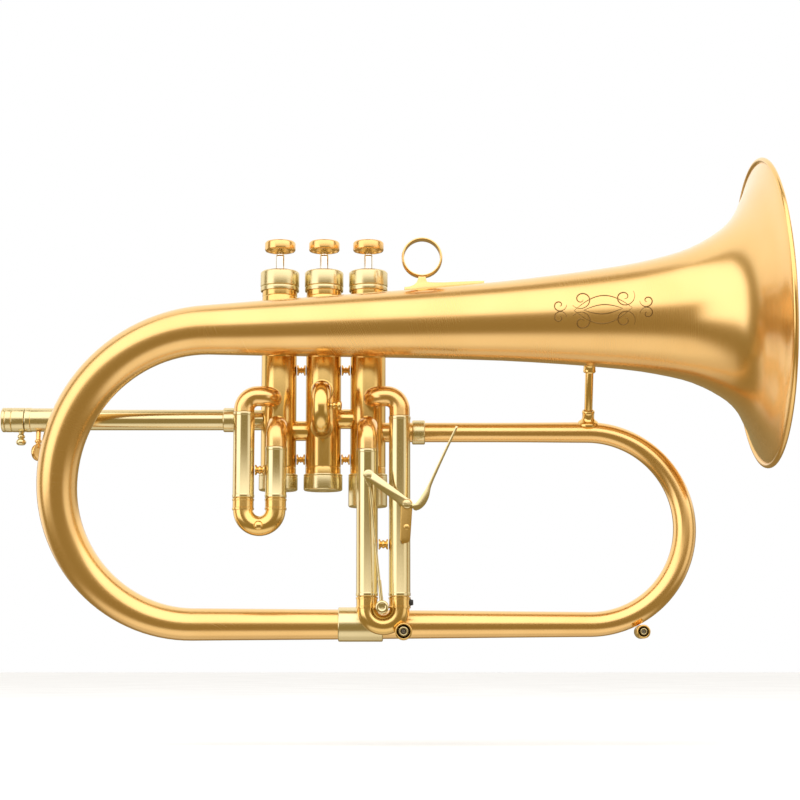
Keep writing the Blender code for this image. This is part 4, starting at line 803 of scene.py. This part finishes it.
def make_leadpipe():
    """The leadpipe, its ferrule and collar, and the receiver with its two knobs."""
    seam, start = -161.6 * MM, -174.4 * MM
    pipe = [(5.15 * MM, seam + 1.3 * MM), (5.6 * MM, seam + 1.3 * MM), (5.6 * MM, -32.4 * MM),
            (5.15 * MM, -32.4 * MM)]
    tube = turned("leadpipe_tube", pipe, X_AXIS, (0, 0, 0), 0.05 * MM, True)
    finish(tube, nickel_along, nodes=["leadpipe"])
    band = turned("leadpipe_band", ferrule(6.6 * MM, 5.65 * MM, -54.2 * MM, -46.9 * MM), X_AXIS,
                  (0, 0, 0), 0.3 * MM, True)
    finish(band, nickel_turned, nodes=["leadpipe_ferrule"])
    end = seam + 21.0 * MM
    collar = [(5.2 * MM, seam), (6.5 * MM, seam), (6.65 * MM, seam + 0.5 * MM),
              (6.65 * MM, seam + 3.0 * MM), (6.4 * MM, seam + 3.3 * MM),
              (6.4 * MM, end - 2.6 * MM), (6.65 * MM, end - 2.2 * MM), (6.65 * MM, end - 0.8 * MM),
              (6.1 * MM, end), (5.75 * MM, end), (5.75 * MM, seam + 1.0 * MM),
              (5.2 * MM, seam + 1.0 * MM)]
    sleeve = turned("lock_sleeve", collar, X_AXIS, (0, 0, 0), 0.2 * MM, True)
    finish(sleeve, nickel_turned, nodes=["lock_collar"])
    wide, groove = 6.65 * MM, 6.3 * MM
    shape = [(5.2 * MM, start + 0.5 * MM), (6.0 * MM, start), (wide, start + 0.5 * MM),
             (wide, start + 1.8 * MM), (groove, start + 2.1 * MM), (wide, start + 2.4 * MM),
             (wide, start + 5.3 * MM), (groove, start + 5.6 * MM), (wide, start + 5.9 * MM),
             (wide, seam - 0.6 * MM), (6.4 * MM, seam - 0.3 * MM), (4.85 * MM, seam - 0.3 * MM),
             (4.85 * MM, seam + 55.0 * MM), (4.35 * MM, seam + 55.0 * MM),
             (4.35 * MM, seam - 2.3 * MM)]
    receiver = turned("receiver_shank", shape, X_AXIS, (0, 0, 0), 0.2 * MM, True)
    finish(receiver, nickel_turned, "receiver_body", ["mouthpiece_receiver"])
    knob = [(0, 6.55), (1.7, 6.55), (1.2, 7.85), (2.0, 8.55), (2.0, 9.65), (1.3, 10.15),
            (2.4, 11.0), (2.75, 12.0), (2.6, 12.9), (1.8, 13.7), (0, 13.9)]
    outline = [(radius * MM, height * MM) for radius, height in knob]
    piece = turned("receiver_finial", outline, -Z_AXIS, (-163.9 * MM, 0, 0), 0.3 * MM, False, 48)
    finish(piece, nickel_turned, "receiver_body", ["receiver_knob"])
    make_thumbscrew(-154.6 * MM, -17.7 * MM)


def make_thumbscrew(x, z):
    """A coin-shaped head with chamfered edges on a short stem."""
    radius, half = 4.6 * MM, 0.9 * MM
    facing = Matrix.Rotation(math.radians(58.0), 3, "Z") @ Y_AXIS
    coin = [(0, -half * 0.7), (radius * 0.62, -half * 0.7), (radius * 0.7, -half),
            (radius - 0.2 * MM, -half), (radius, -half * 0.7), (radius, half * 0.7),
            (radius - 0.2 * MM, half), (radius * 0.7, half), (radius * 0.62, half * 0.7),
            (0, half * 0.7)]
    head = turned("thumbscrew", coin, facing, (x, 0, z), 0.12 * MM, False, 72)
    stem = [(0, z + radius * 0.5), (1.3 * MM, z + radius * 0.5), (1.3 * MM, z + radius + 0.6 * MM),
            (1.9 * MM, z + radius + 1.0 * MM), (1.9 * MM, z + radius + 1.9 * MM),
            (1.3 * MM, z + radius + 2.3 * MM), (1.3 * MM, -5.45 * MM), (0, -5.45 * MM)]
    cut(head, turned("thumbscrew_stem", stem, Z_AXIS, (x, 0, 0), 0.15 * MM, False, 32), "UNION")
    finish(head, gold_turned, "lock_body", ["lock_thumbscrew"])


# ---------------------------------------------------------------- slides

SLEEVE = 5.8 * MM
KNUCKLE = 5.45 * MM
SLIDE_BOW = 5.3 * MM
INNER = 5.0 * MM
CASING_FACE_Y = -8.6 * MM
BOW_DROP = 6.3 * MM       # from a sleeve's end down to where its bow bends
FIRST_END_Z = -44.1 * MM
THIRD_END_Z = -96.0 * MM
# Each slide's name, valve, side, sleeve end, seams (outer and inner leg), brace height and
# the length of tube that stays in its sleeves.
SLIDES = (("first", 0, -1, FIRST_END_Z, (1.8 * MM, -16.9 * MM), -29.2 * MM, 25.7 * MM),
          ("third", 2, 1, THIRD_END_Z, (-0.3 * MM, -18.0 * MM), -68.6 * MM, 45.2 * MM))


def leg(name, points, seam_z, end_z, node):
    """A fixed leg: a lacquered knuckle, then a wider nickel sleeve below the seam."""
    foot = points[-1]
    seam = Vector((foot.x, foot.y, seam_z))
    bend = filled_in(points[:-1] + [seam], 4.0 * MM)
    knuckle = drawn(f"{name}_knuckle", bend, [KNUCKLE] * len(bend), 0.5 * MM, 56)
    finish(knuckle, gold_bow)
    top, rim = seam_z - 0.1 * MM, 0.3 * MM
    outline = [(SLEEVE - 0.5 * MM, end_z), (SLEEVE - rim, end_z), (SLEEVE, end_z + rim),
               (SLEEVE, end_z + 1.7 * MM), (SLEEVE - 0.15 * MM, end_z + 1.9 * MM),
               (SLEEVE - 0.15 * MM, top - 1.9 * MM), (SLEEVE, top - 1.7 * MM),
               (SLEEVE, top - rim), (SLEEVE - rim, top), (SLEEVE - 0.8 * MM, top),
               (SLEEVE - 0.8 * MM, top - 0.5 * MM), (SLEEVE - 0.5 * MM, top - 0.5 * MM)]
    sleeve = turned(f"{name}_sleeve", outline, Z_AXIS, (foot.x, foot.y, 0), 0.08 * MM, True)
    finish(sleeve, nickel, nodes=[node])


def make_slide(title, index, side, end_z, seams, brace_z, room):
    """One long valve slide: two legs, their brace, and the moving bow."""
    x = (index - 1) * VALVE_PITCH
    far_x = x + side * LEG_PITCH
    start_x = x + side * 3.2 * MM
    high = bent([(start_x, CASING_FACE_Y, 10.4 * MM), (start_x, SLIDE_Y, 10.4 * MM),
                 (far_x, SLIDE_Y, 10.4 * MM), (far_x, SLIDE_Y, end_z)], (6.6 * MM, 7.2 * MM))
    low = bent([(x, CASING_FACE_Y, -4.6 * MM), (x, SLIDE_Y, -4.6 * MM), (x, SLIDE_Y, end_z)],
               (8.2 * MM,))
    leg(f"{title}_outer_leg", high, seams[0], end_z, f"{title}_slide_upper_leg")
    leg(f"{title}_inner_leg", low, seams[1], end_z, f"{title}_slide_lower_leg")
    half = LEG_PITCH / 2.0 - SLEEVE - 0.3 * MM
    waist = [(0, -half), (2.8 * MM, -half), (2.8 * MM, 0.6 * MM - half), (1.5 * MM, -1.0 * MM),
             (2.2 * MM, -0.4 * MM), (2.2 * MM, 0.4 * MM), (1.5 * MM, 1.0 * MM),
             (2.8 * MM, half - 0.6 * MM), (2.8 * MM, half), (0, half)]
    middle = (x + far_x) / 2.0
    brace = turned(f"{title}_leg_brace", waist, X_AXIS, (middle, SLIDE_Y, brace_z), 0.2 * MM,
                   False, 40)
    finish(brace, brass_turned, nodes=[f"{title}_slide_brace"])
    points = [Vector((far_x, SLIDE_Y, end_z + room)),
              *half_turn(Vector((middle, SLIDE_Y, end_z - BOW_DROP)), LEG_PITCH / 2.0, side),
              Vector((x, SLIDE_Y, end_z + room))]
    length = distances(points)[-1]
    shoulder, end = room + 0.35 * MM, room + 6.3 * MM
    line, radii = steps_on(points, [shoulder, shoulder + 1.1 * MM, end - 1.1 * MM, end,
                                    length - end, length - end + 1.1 * MM,
                                    length - shoulder - 1.1 * MM, length - shoulder],
                           [INNER, SLEEVE, SLEEVE - 0.25 * MM, SLEEVE, SLIDE_BOW,
                            SLEEVE, SLEEVE - 0.25 * MM, SLEEVE, INNER])
    bow = drawn(f"{title}_bow_tube", line, radii, 0.45 * MM, 56)
    finish(bow, brass_drawn, f"{title}_slide_body", [f"{title}_slide_bow"])


def make_bumper():
    """The black stop screw on the third slide's outer ferrule."""
    x = VALVE_PITCH + LEG_PITCH
    outline = in_mm((0, 5.3), (1.9, 5.3), (1.9, 5.9), (1.5, 6.1), (1.5, 6.9), (1.2, 7.2), (0, 7.2))
    stop = turned("third_slide_stop", outline, X_AXIS, (x, SLIDE_Y, -99.2 * MM), 0.2 * MM,
                  False, 32)
    finish(stop, rubber, "third_slide_body")


def make_slides():
    """The long slides, the knob on the first and the short middle slide."""
    for slide in SLIDES:
        make_slide(*slide)
    make_bumper()
    outline = in_mm((0, 5.5), (2.5, 5.5), (2.5, 5.9), (2.1, 6.5), (1.3, 7.1), (0, 7.3))
    at = (-VALVE_PITCH - LEG_PITCH / 2.0, SLIDE_Y, FIRST_END_Z - BOW_DROP - LEG_PITCH / 2.0)
    knob = turned("first_bow_dome", outline, -Y_AXIS, at, 0.4 * MM, False, 40)
    finish(knob, brass_turned, "first_slide_body", ["first_slide_knob"])
    make_middle_slide()


def make_middle_slide():
    """The short middle slide: two sleeves, the bow and its two-bead knob."""
    high, low, front = 13.4 * MM, -6.2 * MM, -20.0 * MM
    for level, z in (("upper", high), ("lower", low)):
        sleeve = in_mm((4.9, 8.6), (5.4, 8.6), (5.4, 17.2), (5.95, 17.5), (5.95, 18.4),
                       (5.7, 18.7), (5.95, 19.0), (5.95, 20.0), (4.9, 20.0))
        tube = turned(f"middle_{level}_sleeve", sleeve, -Y_AXIS, (0, 0, z), 0.15 * MM, True)
        finish(tube, brass_turned, nodes=[f"second_slide_{level}_sleeve"])
    half, centre, bend_y = (high - low) / 2.0, (high + low) / 2.0, front - 2.0 * MM
    points = [Vector((0, front + 9.0 * MM, high))]
    for step in range(41):
        angle = math.pi * step / 40
        points.append(Vector((0, bend_y - half * math.sin(angle),
                              centre + half * math.cos(angle))))
    points.append(Vector((0, front + 9.0 * MM, low)))
    length = distances(points)[-1]
    line, radii = steps_on(points, [9.35 * MM, length - 9.35 * MM],
                           [4.6 * MM, 4.9 * MM, 4.6 * MM])
    bow = drawn("middle_bow_tube", line, radii, 0.45 * MM, 56)
    finish(bow, brass_drawn, "second_slide_body", ["second_slide_bow"])
    outline = in_mm((0, 5.05), (1.8, 5.05), (1.2, 6.0), (2.0, 6.6), (2.0, 7.4), (1.3, 8.0),
                    (2.5, 8.8), (2.8, 9.6), (2.5, 10.4), (1.7, 11.0), (0, 11.1))
    piece = turned("middle_bow_finial", outline, X_AXIS, (0, bend_y - half, centre), 0.3 * MM,
                   False, 48)
    finish(piece, brass_turned, "second_slide_body", ["second_slide_knob"])


# ---------------------------------------------------------------- trigger and water keys

LEVER_Y = -28.6 * MM
LEVER_BACK = -27.4 * MM
PIVOT = (45.3 * MM, -48.0 * MM)          # the lever's screw, in X and Z
PIN = (25.05 * MM, -32.7 * MM)           # where the rod hangs on the lever
BALL = (32.3 * MM, -101.8 * MM)          # where the rod meets the slide's bow
FIT = 0.3 * MM                           # play between pieces that touch


def disc(radius, low, high):
    """The outline of a plain disc or pin."""
    return [(0, low), (radius, low), (radius, high), (0, high)]


def smooth_strip(knots, widths, parts=6):
    """A strip's outline from centre knots and half widths, eased between them."""
    marks = distances([Vector((x, 0, z)) for x, z in knots])
    along = list(zip(marks, [x for x, _ in knots]))
    up = list(zip(marks, [z for _, z in knots]))
    left, right = [], []
    count = parts * (len(knots) - 1)
    for step in range(count + 1):
        spot = marks[-1] * step / count
        x, z = eased(along, spot), eased(up, spot)
        ahead, back = min(spot + 0.05, marks[-1]), max(spot - 0.05, 0.0)
        dx = eased(along, ahead) - eased(along, back)
        dz = eased(up, ahead) - eased(up, back)
        half = eased(list(zip(marks, widths)), spot) / math.hypot(dx, dz)
        left.append((x - dz * half, z + dx * half))
        right.append((x + dz * half, z - dx * half))
    return right + left[::-1]


def on_front(name, outline, at, edge, facets):
    """A turned piece that faces the front, at a place in X and Z."""
    return turned(name, outline, -Y_AXIS, (at[0], 0, at[1]), edge, False, facets)


def make_bracket():
    """The trigger's bracket, its small screw and the slotted pivot screw."""
    base = (PIVOT[0] - 0.8 * MM, -68.5 * MM + 2.6 * MM)
    front = LEVER_BACK + FIT
    bracket = flat("trigger_bracket", capsule(base, PIVOT, 2.6 * MM, 3.0 * MM), front,
                   SLIDE_Y - SLEEVE - FIT - front, 0.2 * MM)
    finish(bracket, brass, nodes=["lever_bracket"])
    small = [(0, -front), (1.5 * MM, -front), (1.5 * MM, 0.5 * MM - front),
             (1.1 * MM, 0.8 * MM - front), (0, 0.85 * MM - front)]
    second = on_front("bracket_screw", small, (PIVOT[0] - 0.2 * MM, -60.0 * MM), 0.12 * MM, 32)
    finish(second, brass_turned)
    screw = [(0, LEVER_BACK), (1.3 * MM, LEVER_BACK), (1.3 * MM, LEVER_Y - 0.3 * MM),
             (2.5 * MM, LEVER_Y - 0.3 * MM), (2.5 * MM, LEVER_Y - 1.2 * MM),
             (1.9 * MM, LEVER_Y - 1.75 * MM), (0, LEVER_Y - 1.9 * MM)]
    head = on_front("pivot_screw_head", [(radius, -y) for radius, y in screw], PIVOT,
                    0.15 * MM, 40)
    corners = [(PIVOT[0] + x * MM, PIVOT[1] + z * MM)
               for x, z in ((-3.0, -0.3), (3.0, -0.3), (3.0, 0.3), (-3.0, 0.3))]
    cut(head, flat("slot_cutter", corners, LEVER_Y - 3.0 * MM, 1.8 * MM, 0.02 * MM))
    finish(head, nickel_turned, nodes=["pivot_screw"])


def make_lever():
    """The lever's plate with its finger strip, and the rivet that the rod hangs on."""
    lever = flat("trigger_plate", capsule(PIN, PIVOT, 2.6 * MM, 2.6 * MM), LEVER_Y,
                 LEVER_BACK - LEVER_Y, 0.2 * MM)
    cut(lever, on_front("pivot_hole", disc(1.6 * MM, 20.0 * MM, 32.0 * MM), PIVOT,
                        0.02 * MM, 40))
    knots = [(2.3, -0.6), (4.6, -1.6), (7.4, 0.6), (9.9, 4.6), (12.0, 10.0), (16.3, 19.6),
             (21.4, 30.5), (26.4, 41.0)]
    outline = [(PIVOT[0] + px * MM, PIVOT[1] + pz * MM)
               for px, pz in smooth_strip(knots, (1.0, 1.5, 2.0, 1.8, 0.9, 0.7, 0.6, 0.6))]
    strip = flat("finger_strip", outline, LEVER_Y, 7.0 * MM, 0.12 * MM)
    cut(strip, on_front("strip_room", disc(4.3 * MM, -LEVER_BACK - 30.0 * MM, -LEVER_BACK),
                        PIVOT, 0.02 * MM, 48))
    cut(lever, strip, "UNION")
    finish(lever, nickel, "lever_body", ["trigger_lever"])
    pin = [(0, -LEVER_BACK - 1.5 * MM), (1.0 * MM, -LEVER_BACK - 1.5 * MM),
           (1.0 * MM, -LEVER_Y - 0.3 * MM), (1.7 * MM, -LEVER_Y - 0.3 * MM),
           (1.7 * MM, -LEVER_Y + 0.6 * MM), (1.3 * MM, -LEVER_Y + 0.9 * MM),
           (0, -LEVER_Y + 0.95 * MM)]
    rivet = on_front("lever_pin", pin, PIN, 0.15 * MM, 40)
    finish(rivet, nickel_turned, "lever_body")


def make_rod():
    """The connecting rod: an eye at the lever, a thin shaft and a round end."""
    rod_front = LEVER_BACK + FIT
    heading = (Vector(PIN) - Vector(BALL)).normalized()
    neck = Vector(PIN) - heading * 5.5 * MM
    rod = flat("trigger_rod", capsule(neck, PIN, 0.8 * MM, 2.9 * MM), rod_front, 1.2 * MM,
               0.15 * MM)
    low = Vector(BALL) + heading * 14.0 * MM
    shaft = drawn("rod_shaft", [(BALL[0], rod_front + 0.6 * MM, BALL[1]),
                                (low.x, rod_front + 0.6 * MM, low.y),
                                (low.x + heading.x * 0.2 * MM, rod_front + 0.6 * MM,
                                 low.y + heading.y * 0.2 * MM),
                                (neck.x + heading.x * MM, rod_front + 0.6 * MM,
                                 neck.y + heading.y * MM)],
                  [0.95 * MM, 0.95 * MM, 0.6 * MM, 0.6 * MM], sides=24)
    cut(rod, shaft, "UNION")
    cut(rod, on_front("rod_eye", disc(2.1 * MM, 20.0 * MM, 32.0 * MM), PIN, 0.02 * MM, 40))
    pad = in_mm((0, 25.9), (3.1, 25.9), (3.5, 26.3), (3.5, 28.5), (2.9, 29.0), (2.0, 29.05),
                (1.7, 28.8), (0, 28.75))
    cut(rod, on_front("rod_end", pad, BALL, 0.2 * MM, 56), "UNION")
    finish(rod, nickel, "rod_body", ["connecting_rod"])


def make_rod_post():
    """The post that the rod's end turns on, and its bar between the bow's tubes."""
    post = on_front("slide_post", disc(1.9 * MM, -SLIDE_Y - 1.6 * MM, 25.6 * MM), BALL,
                    0.2 * MM, 40)
    half = LEG_PITCH / 2.0 - SLEEVE - FIT
    middle = VALVE_PITCH + LEG_PITCH / 2.0
    cut(post, turned("post_bar", disc(1.6 * MM, -half, half), X_AXIS,
                     (middle, SLIDE_Y, BALL[1]), 0.15 * MM, False, 32), "UNION")
    finish(post, nickel_turned, "third_slide_body", ["rod_post"])


def make_water_key(title, x, z, radius, front, node, plunger_body, body, trimmer):
    """A barrel with stepped rings in its front end, and the plunger in the middle."""
    back = front + 13.0 * MM
    seat = radius - 1.1 * MM
    outline = [(0, front + 3.6 * MM), (seat, front + 3.6 * MM), (seat, front + 0.5 * MM),
               (seat + 0.25 * MM, front), (radius - 0.35 * MM, front),
               (radius, front + 0.4 * MM), (radius, front + 1.8 * MM),
               (radius - 0.25 * MM, front + 2.0 * MM), (radius, front + 2.2 * MM),
               (radius, back - 0.5 * MM), (radius - 0.5 * MM, back), (0, back)]
    barrel = turned(f"{title}_key_barrel", outline, Y_AXIS, (x, 0, z), 0.12 * MM, False, 64)
    cut(barrel, trimmer)
    finish(barrel, brass_turned, body, [f"{node}_body"])
    wide = seat - 0.5 * MM
    end = front + 1.8 * MM
    outline = [(0, front - 0.05 * MM), (0.7 * MM, front - 0.2 * MM), (1.1 * MM, front + 0.2 * MM),
               (1.2 * MM, front + 0.7 * MM), (wide - 0.4 * MM, front + 0.7 * MM),
               (wide - 0.2 * MM, front + 0.35 * MM), (wide, front + 0.7 * MM), (wide, end), (0, end)]
    plunger = turned(f"{title}_key_button", outline, Y_AXIS, (x, 0, z), 0.1 * MM, False, 64)
    finish(plunger, dark, plunger_body, [f"{node}_plunger"])
    band = ring(wide * 0.84, wide * 0.56, front - 0.15 * MM, front + 1.0 * MM)
    bright = turned(f"{title}_key_ring", band, Y_AXIS, (x, 0, z), 0.12 * MM, True, 64)
    finish(bright, nickel_turned, plunger_body)


def make_water_keys():
    """One water key on the main bow, one on the third slide."""
    make_water_key("bow", 171.2 * MM, -114.2 * MM, 3.7 * MM, -6.5 * MM, "bow_water_key",
                   "bow_key_body", HORN, drawn("bow_trim", *main_bow_shape(0.12 * MM), sides=56))
    middle = Vector((VALVE_PITCH + LEG_PITCH / 2.0, SLIDE_Y, THIRD_END_Z))
    across = Vector((LEG_PITCH / 2.0, 0.0, 0.0))
    points = [middle + across, *half_turn(middle - BOW_DROP * Z_AXIS, LEG_PITCH / 2.0, 1),
              middle - across]
    trimmer = drawn("third_bow_trim", points, [SLIDE_BOW + 0.15 * MM] * len(points), sides=56)
    make_water_key("slide", 43.5 * MM, -114.4 * MM, 4.5 * MM, SLIDE_Y - 6.5 * MM,
                   "slide_water_key", "slide_key_body", "third_slide_body", trimmer)


def make_springs():
    """The valve springs keep their CAD shape and get drawn wire's surface."""
    for name, _ in VALVES:
        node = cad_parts[f"valve_spring_{name}"]
        node.data.materials.clear()
        node.data.materials.append(wire)


# ---------------------------------------------------------------- studio

FLOOR_Z = -0.175
TILT = math.radians(8.0)
AIM = Vector((41.65 * MM, 0.0, 11.0 * MM))
CAMERA_DISTANCE = 1.007


def window(tree, value, low, high, blur):
    """1 between two values and 0 outside, with soft edges."""
    rise = tree.nodes.new("ShaderNodeMapRange")
    fall = tree.nodes.new("ShaderNodeMapRange")
    both = tree.nodes.new("ShaderNodeMath")
    both.operation = "MULTIPLY"
    for node, start, end, first, last in ((rise, low - blur, low + blur, 0.0, 1.0),
                                          (fall, high - blur, high + blur, 1.0, 0.0)):
        node.interpolation_type = "SMOOTHSTEP"
        node.inputs["From Min"].default_value = start
        node.inputs["From Max"].default_value = end
        node.inputs["To Min"].default_value = first
        node.inputs["To Max"].default_value = last
        links(tree, (value, node.inputs["Value"]))
    links(tree, (rise.outputs["Result"], both.inputs[0]), (fall.outputs["Result"], both.inputs[1]))
    return both.outputs[0]


def math_node(tree, operation, *values):
    """A Math node on sockets or numbers."""
    node = tree.nodes.new("ShaderNodeMath")
    node.operation = operation
    for place, value in enumerate(values):
        if isinstance(value, (int, float)):
            node.inputs[place].default_value = value
        else:
            links(tree, (value, node.inputs[place]))
    return node.outputs[0]


# Each soft box: lowest and highest side angle, lowest and highest height angle, blur,
# brightness. Angles in degrees, the side angle 0 straight ahead and 90 at the bell.
SOFT_BOXES = (
    (-80.0, 80.0, 10.0, 78.0, 6.0, 1.42),
    (-78.0, -34.0, -16.0, 26.0, 6.0, 1.45),
    (46.0, 82.0, -18.0, 26.0, 8.0, 0.72),
    (-180.0, 180.0, -95.0, -48.0, 8.0, 0.72),
)
ROOM = (0.33, 0.25, 0.11)
BEHIND = 0.6              # how bright the far half of the room is
LAMP = (1.0, 0.98, 1.0)
BACKDROP = (1.0, 1.0, 1.0)


def make_room():
    """A soft-box room for reflections, dimmer behind, on a pale backdrop."""
    world = bpy.data.worlds.new("studio")
    bpy.context.scene.world = world
    world.use_nodes = True
    tree = world.node_tree
    place = tree.nodes.new("ShaderNodeTexCoord")
    split = tree.nodes.new("ShaderNodeSeparateXYZ")
    links(tree, (place.outputs["Generated"], split.inputs[0]))
    x, y, z = split.outputs
    depth = math_node(tree, "ABSOLUTE", y)
    side = math_node(tree, "DEGREES", math_node(tree, "ARCTAN2", x, depth))
    height = math_node(tree, "DEGREES", math_node(tree, "ARCSINE", z))
    total = 0.0
    for left, right, low, high, blur, power in SOFT_BOXES:
        box = math_node(tree, "MULTIPLY", window(tree, side, left, right, blur),
                        window(tree, height, low, high, blur))
        total = math_node(tree, "MAXIMUM", math_node(tree, "MULTIPLY", box, power), total)
    half = tree.nodes.new("ShaderNodeMapRange")
    half.inputs["From Min"].default_value = -0.12
    half.inputs["From Max"].default_value = 0.12
    half.inputs["To Min"].default_value = 1.0
    half.inputs["To Max"].default_value = BEHIND
    links(tree, (y, half.inputs["Value"]))
    total = math_node(tree, "MULTIPLY", total, half.outputs["Result"])
    tint = tree.nodes.new("ShaderNodeVectorMath")
    tint.operation = "SCALE"
    tint.inputs[0].default_value = LAMP
    links(tree, (total, tint.inputs["Scale"]))
    room = tree.nodes.new("ShaderNodeVectorMath")
    room.operation = "ADD"
    room.inputs[1].default_value = ROOM
    links(tree, (tint.outputs[0], room.inputs[0]))
    seen = tree.nodes.new("ShaderNodeLightPath")
    open_air = math_node(tree, "MAXIMUM", seen.outputs["Is Camera Ray"],
                         seen.outputs["Is Diffuse Ray"])
    swap = tree.nodes.new("ShaderNodeMix")
    swap.data_type = "RGBA"
    swap.inputs[7].default_value = (*BACKDROP, 1.0)
    links(tree, (open_air, swap.inputs[0]),
          (room.outputs[0], swap.inputs[6]),
          (swap.outputs[2], tree.nodes["Background"].inputs["Color"]))


def make_studio():
    """Pale floor, a large soft lamp overhead, and the camera."""
    deselect()
    bpy.ops.mesh.primitive_plane_add(size=12.0, location=(0, 0, FLOOR_Z))
    floor = bpy.context.object
    floor.name = "studio_floor"
    floor.data.materials.append(floor_paint)
    floor.visible_glossy = False
    lamp = bpy.data.lights.new("overhead_lamp", "AREA")
    lamp.size = 1.4
    lamp.energy = 16.0
    lamp_stand = bpy.data.objects.new("overhead_lamp", lamp)
    lamp_stand.location = (-0.35, -0.55, 1.1)
    lamp_stand.rotation_euler = (AIM - lamp_stand.location).to_track_quat("-Z", "Y").to_euler()
    lamp_stand.visible_glossy = False
    bpy.context.collection.objects.link(lamp_stand)
    make_room()
    lens = bpy.data.cameras.new("camera")
    lens.sensor_width = 36.0
    lens.lens = 83.25
    camera = bpy.data.objects.new("camera", lens)
    camera.location = AIM - CAMERA_DISTANCE * Vector((0.0, math.cos(TILT), math.sin(TILT)))
    camera.rotation_euler = (math.pi / 2.0 + TILT, 0.0, 0.0)
    bpy.context.collection.objects.link(camera)
    bpy.context.scene.camera = camera
    bpy.context.scene.view_settings.view_transform = "Standard"


make_bell()
make_main_bow()
make_brace()
make_finger_ring()
make_engraving()
make_valves()
make_leadpipe()
make_slides()
make_bracket()
make_lever()
make_rod()
make_rod_post()
make_water_keys()
make_springs()
make_studio()
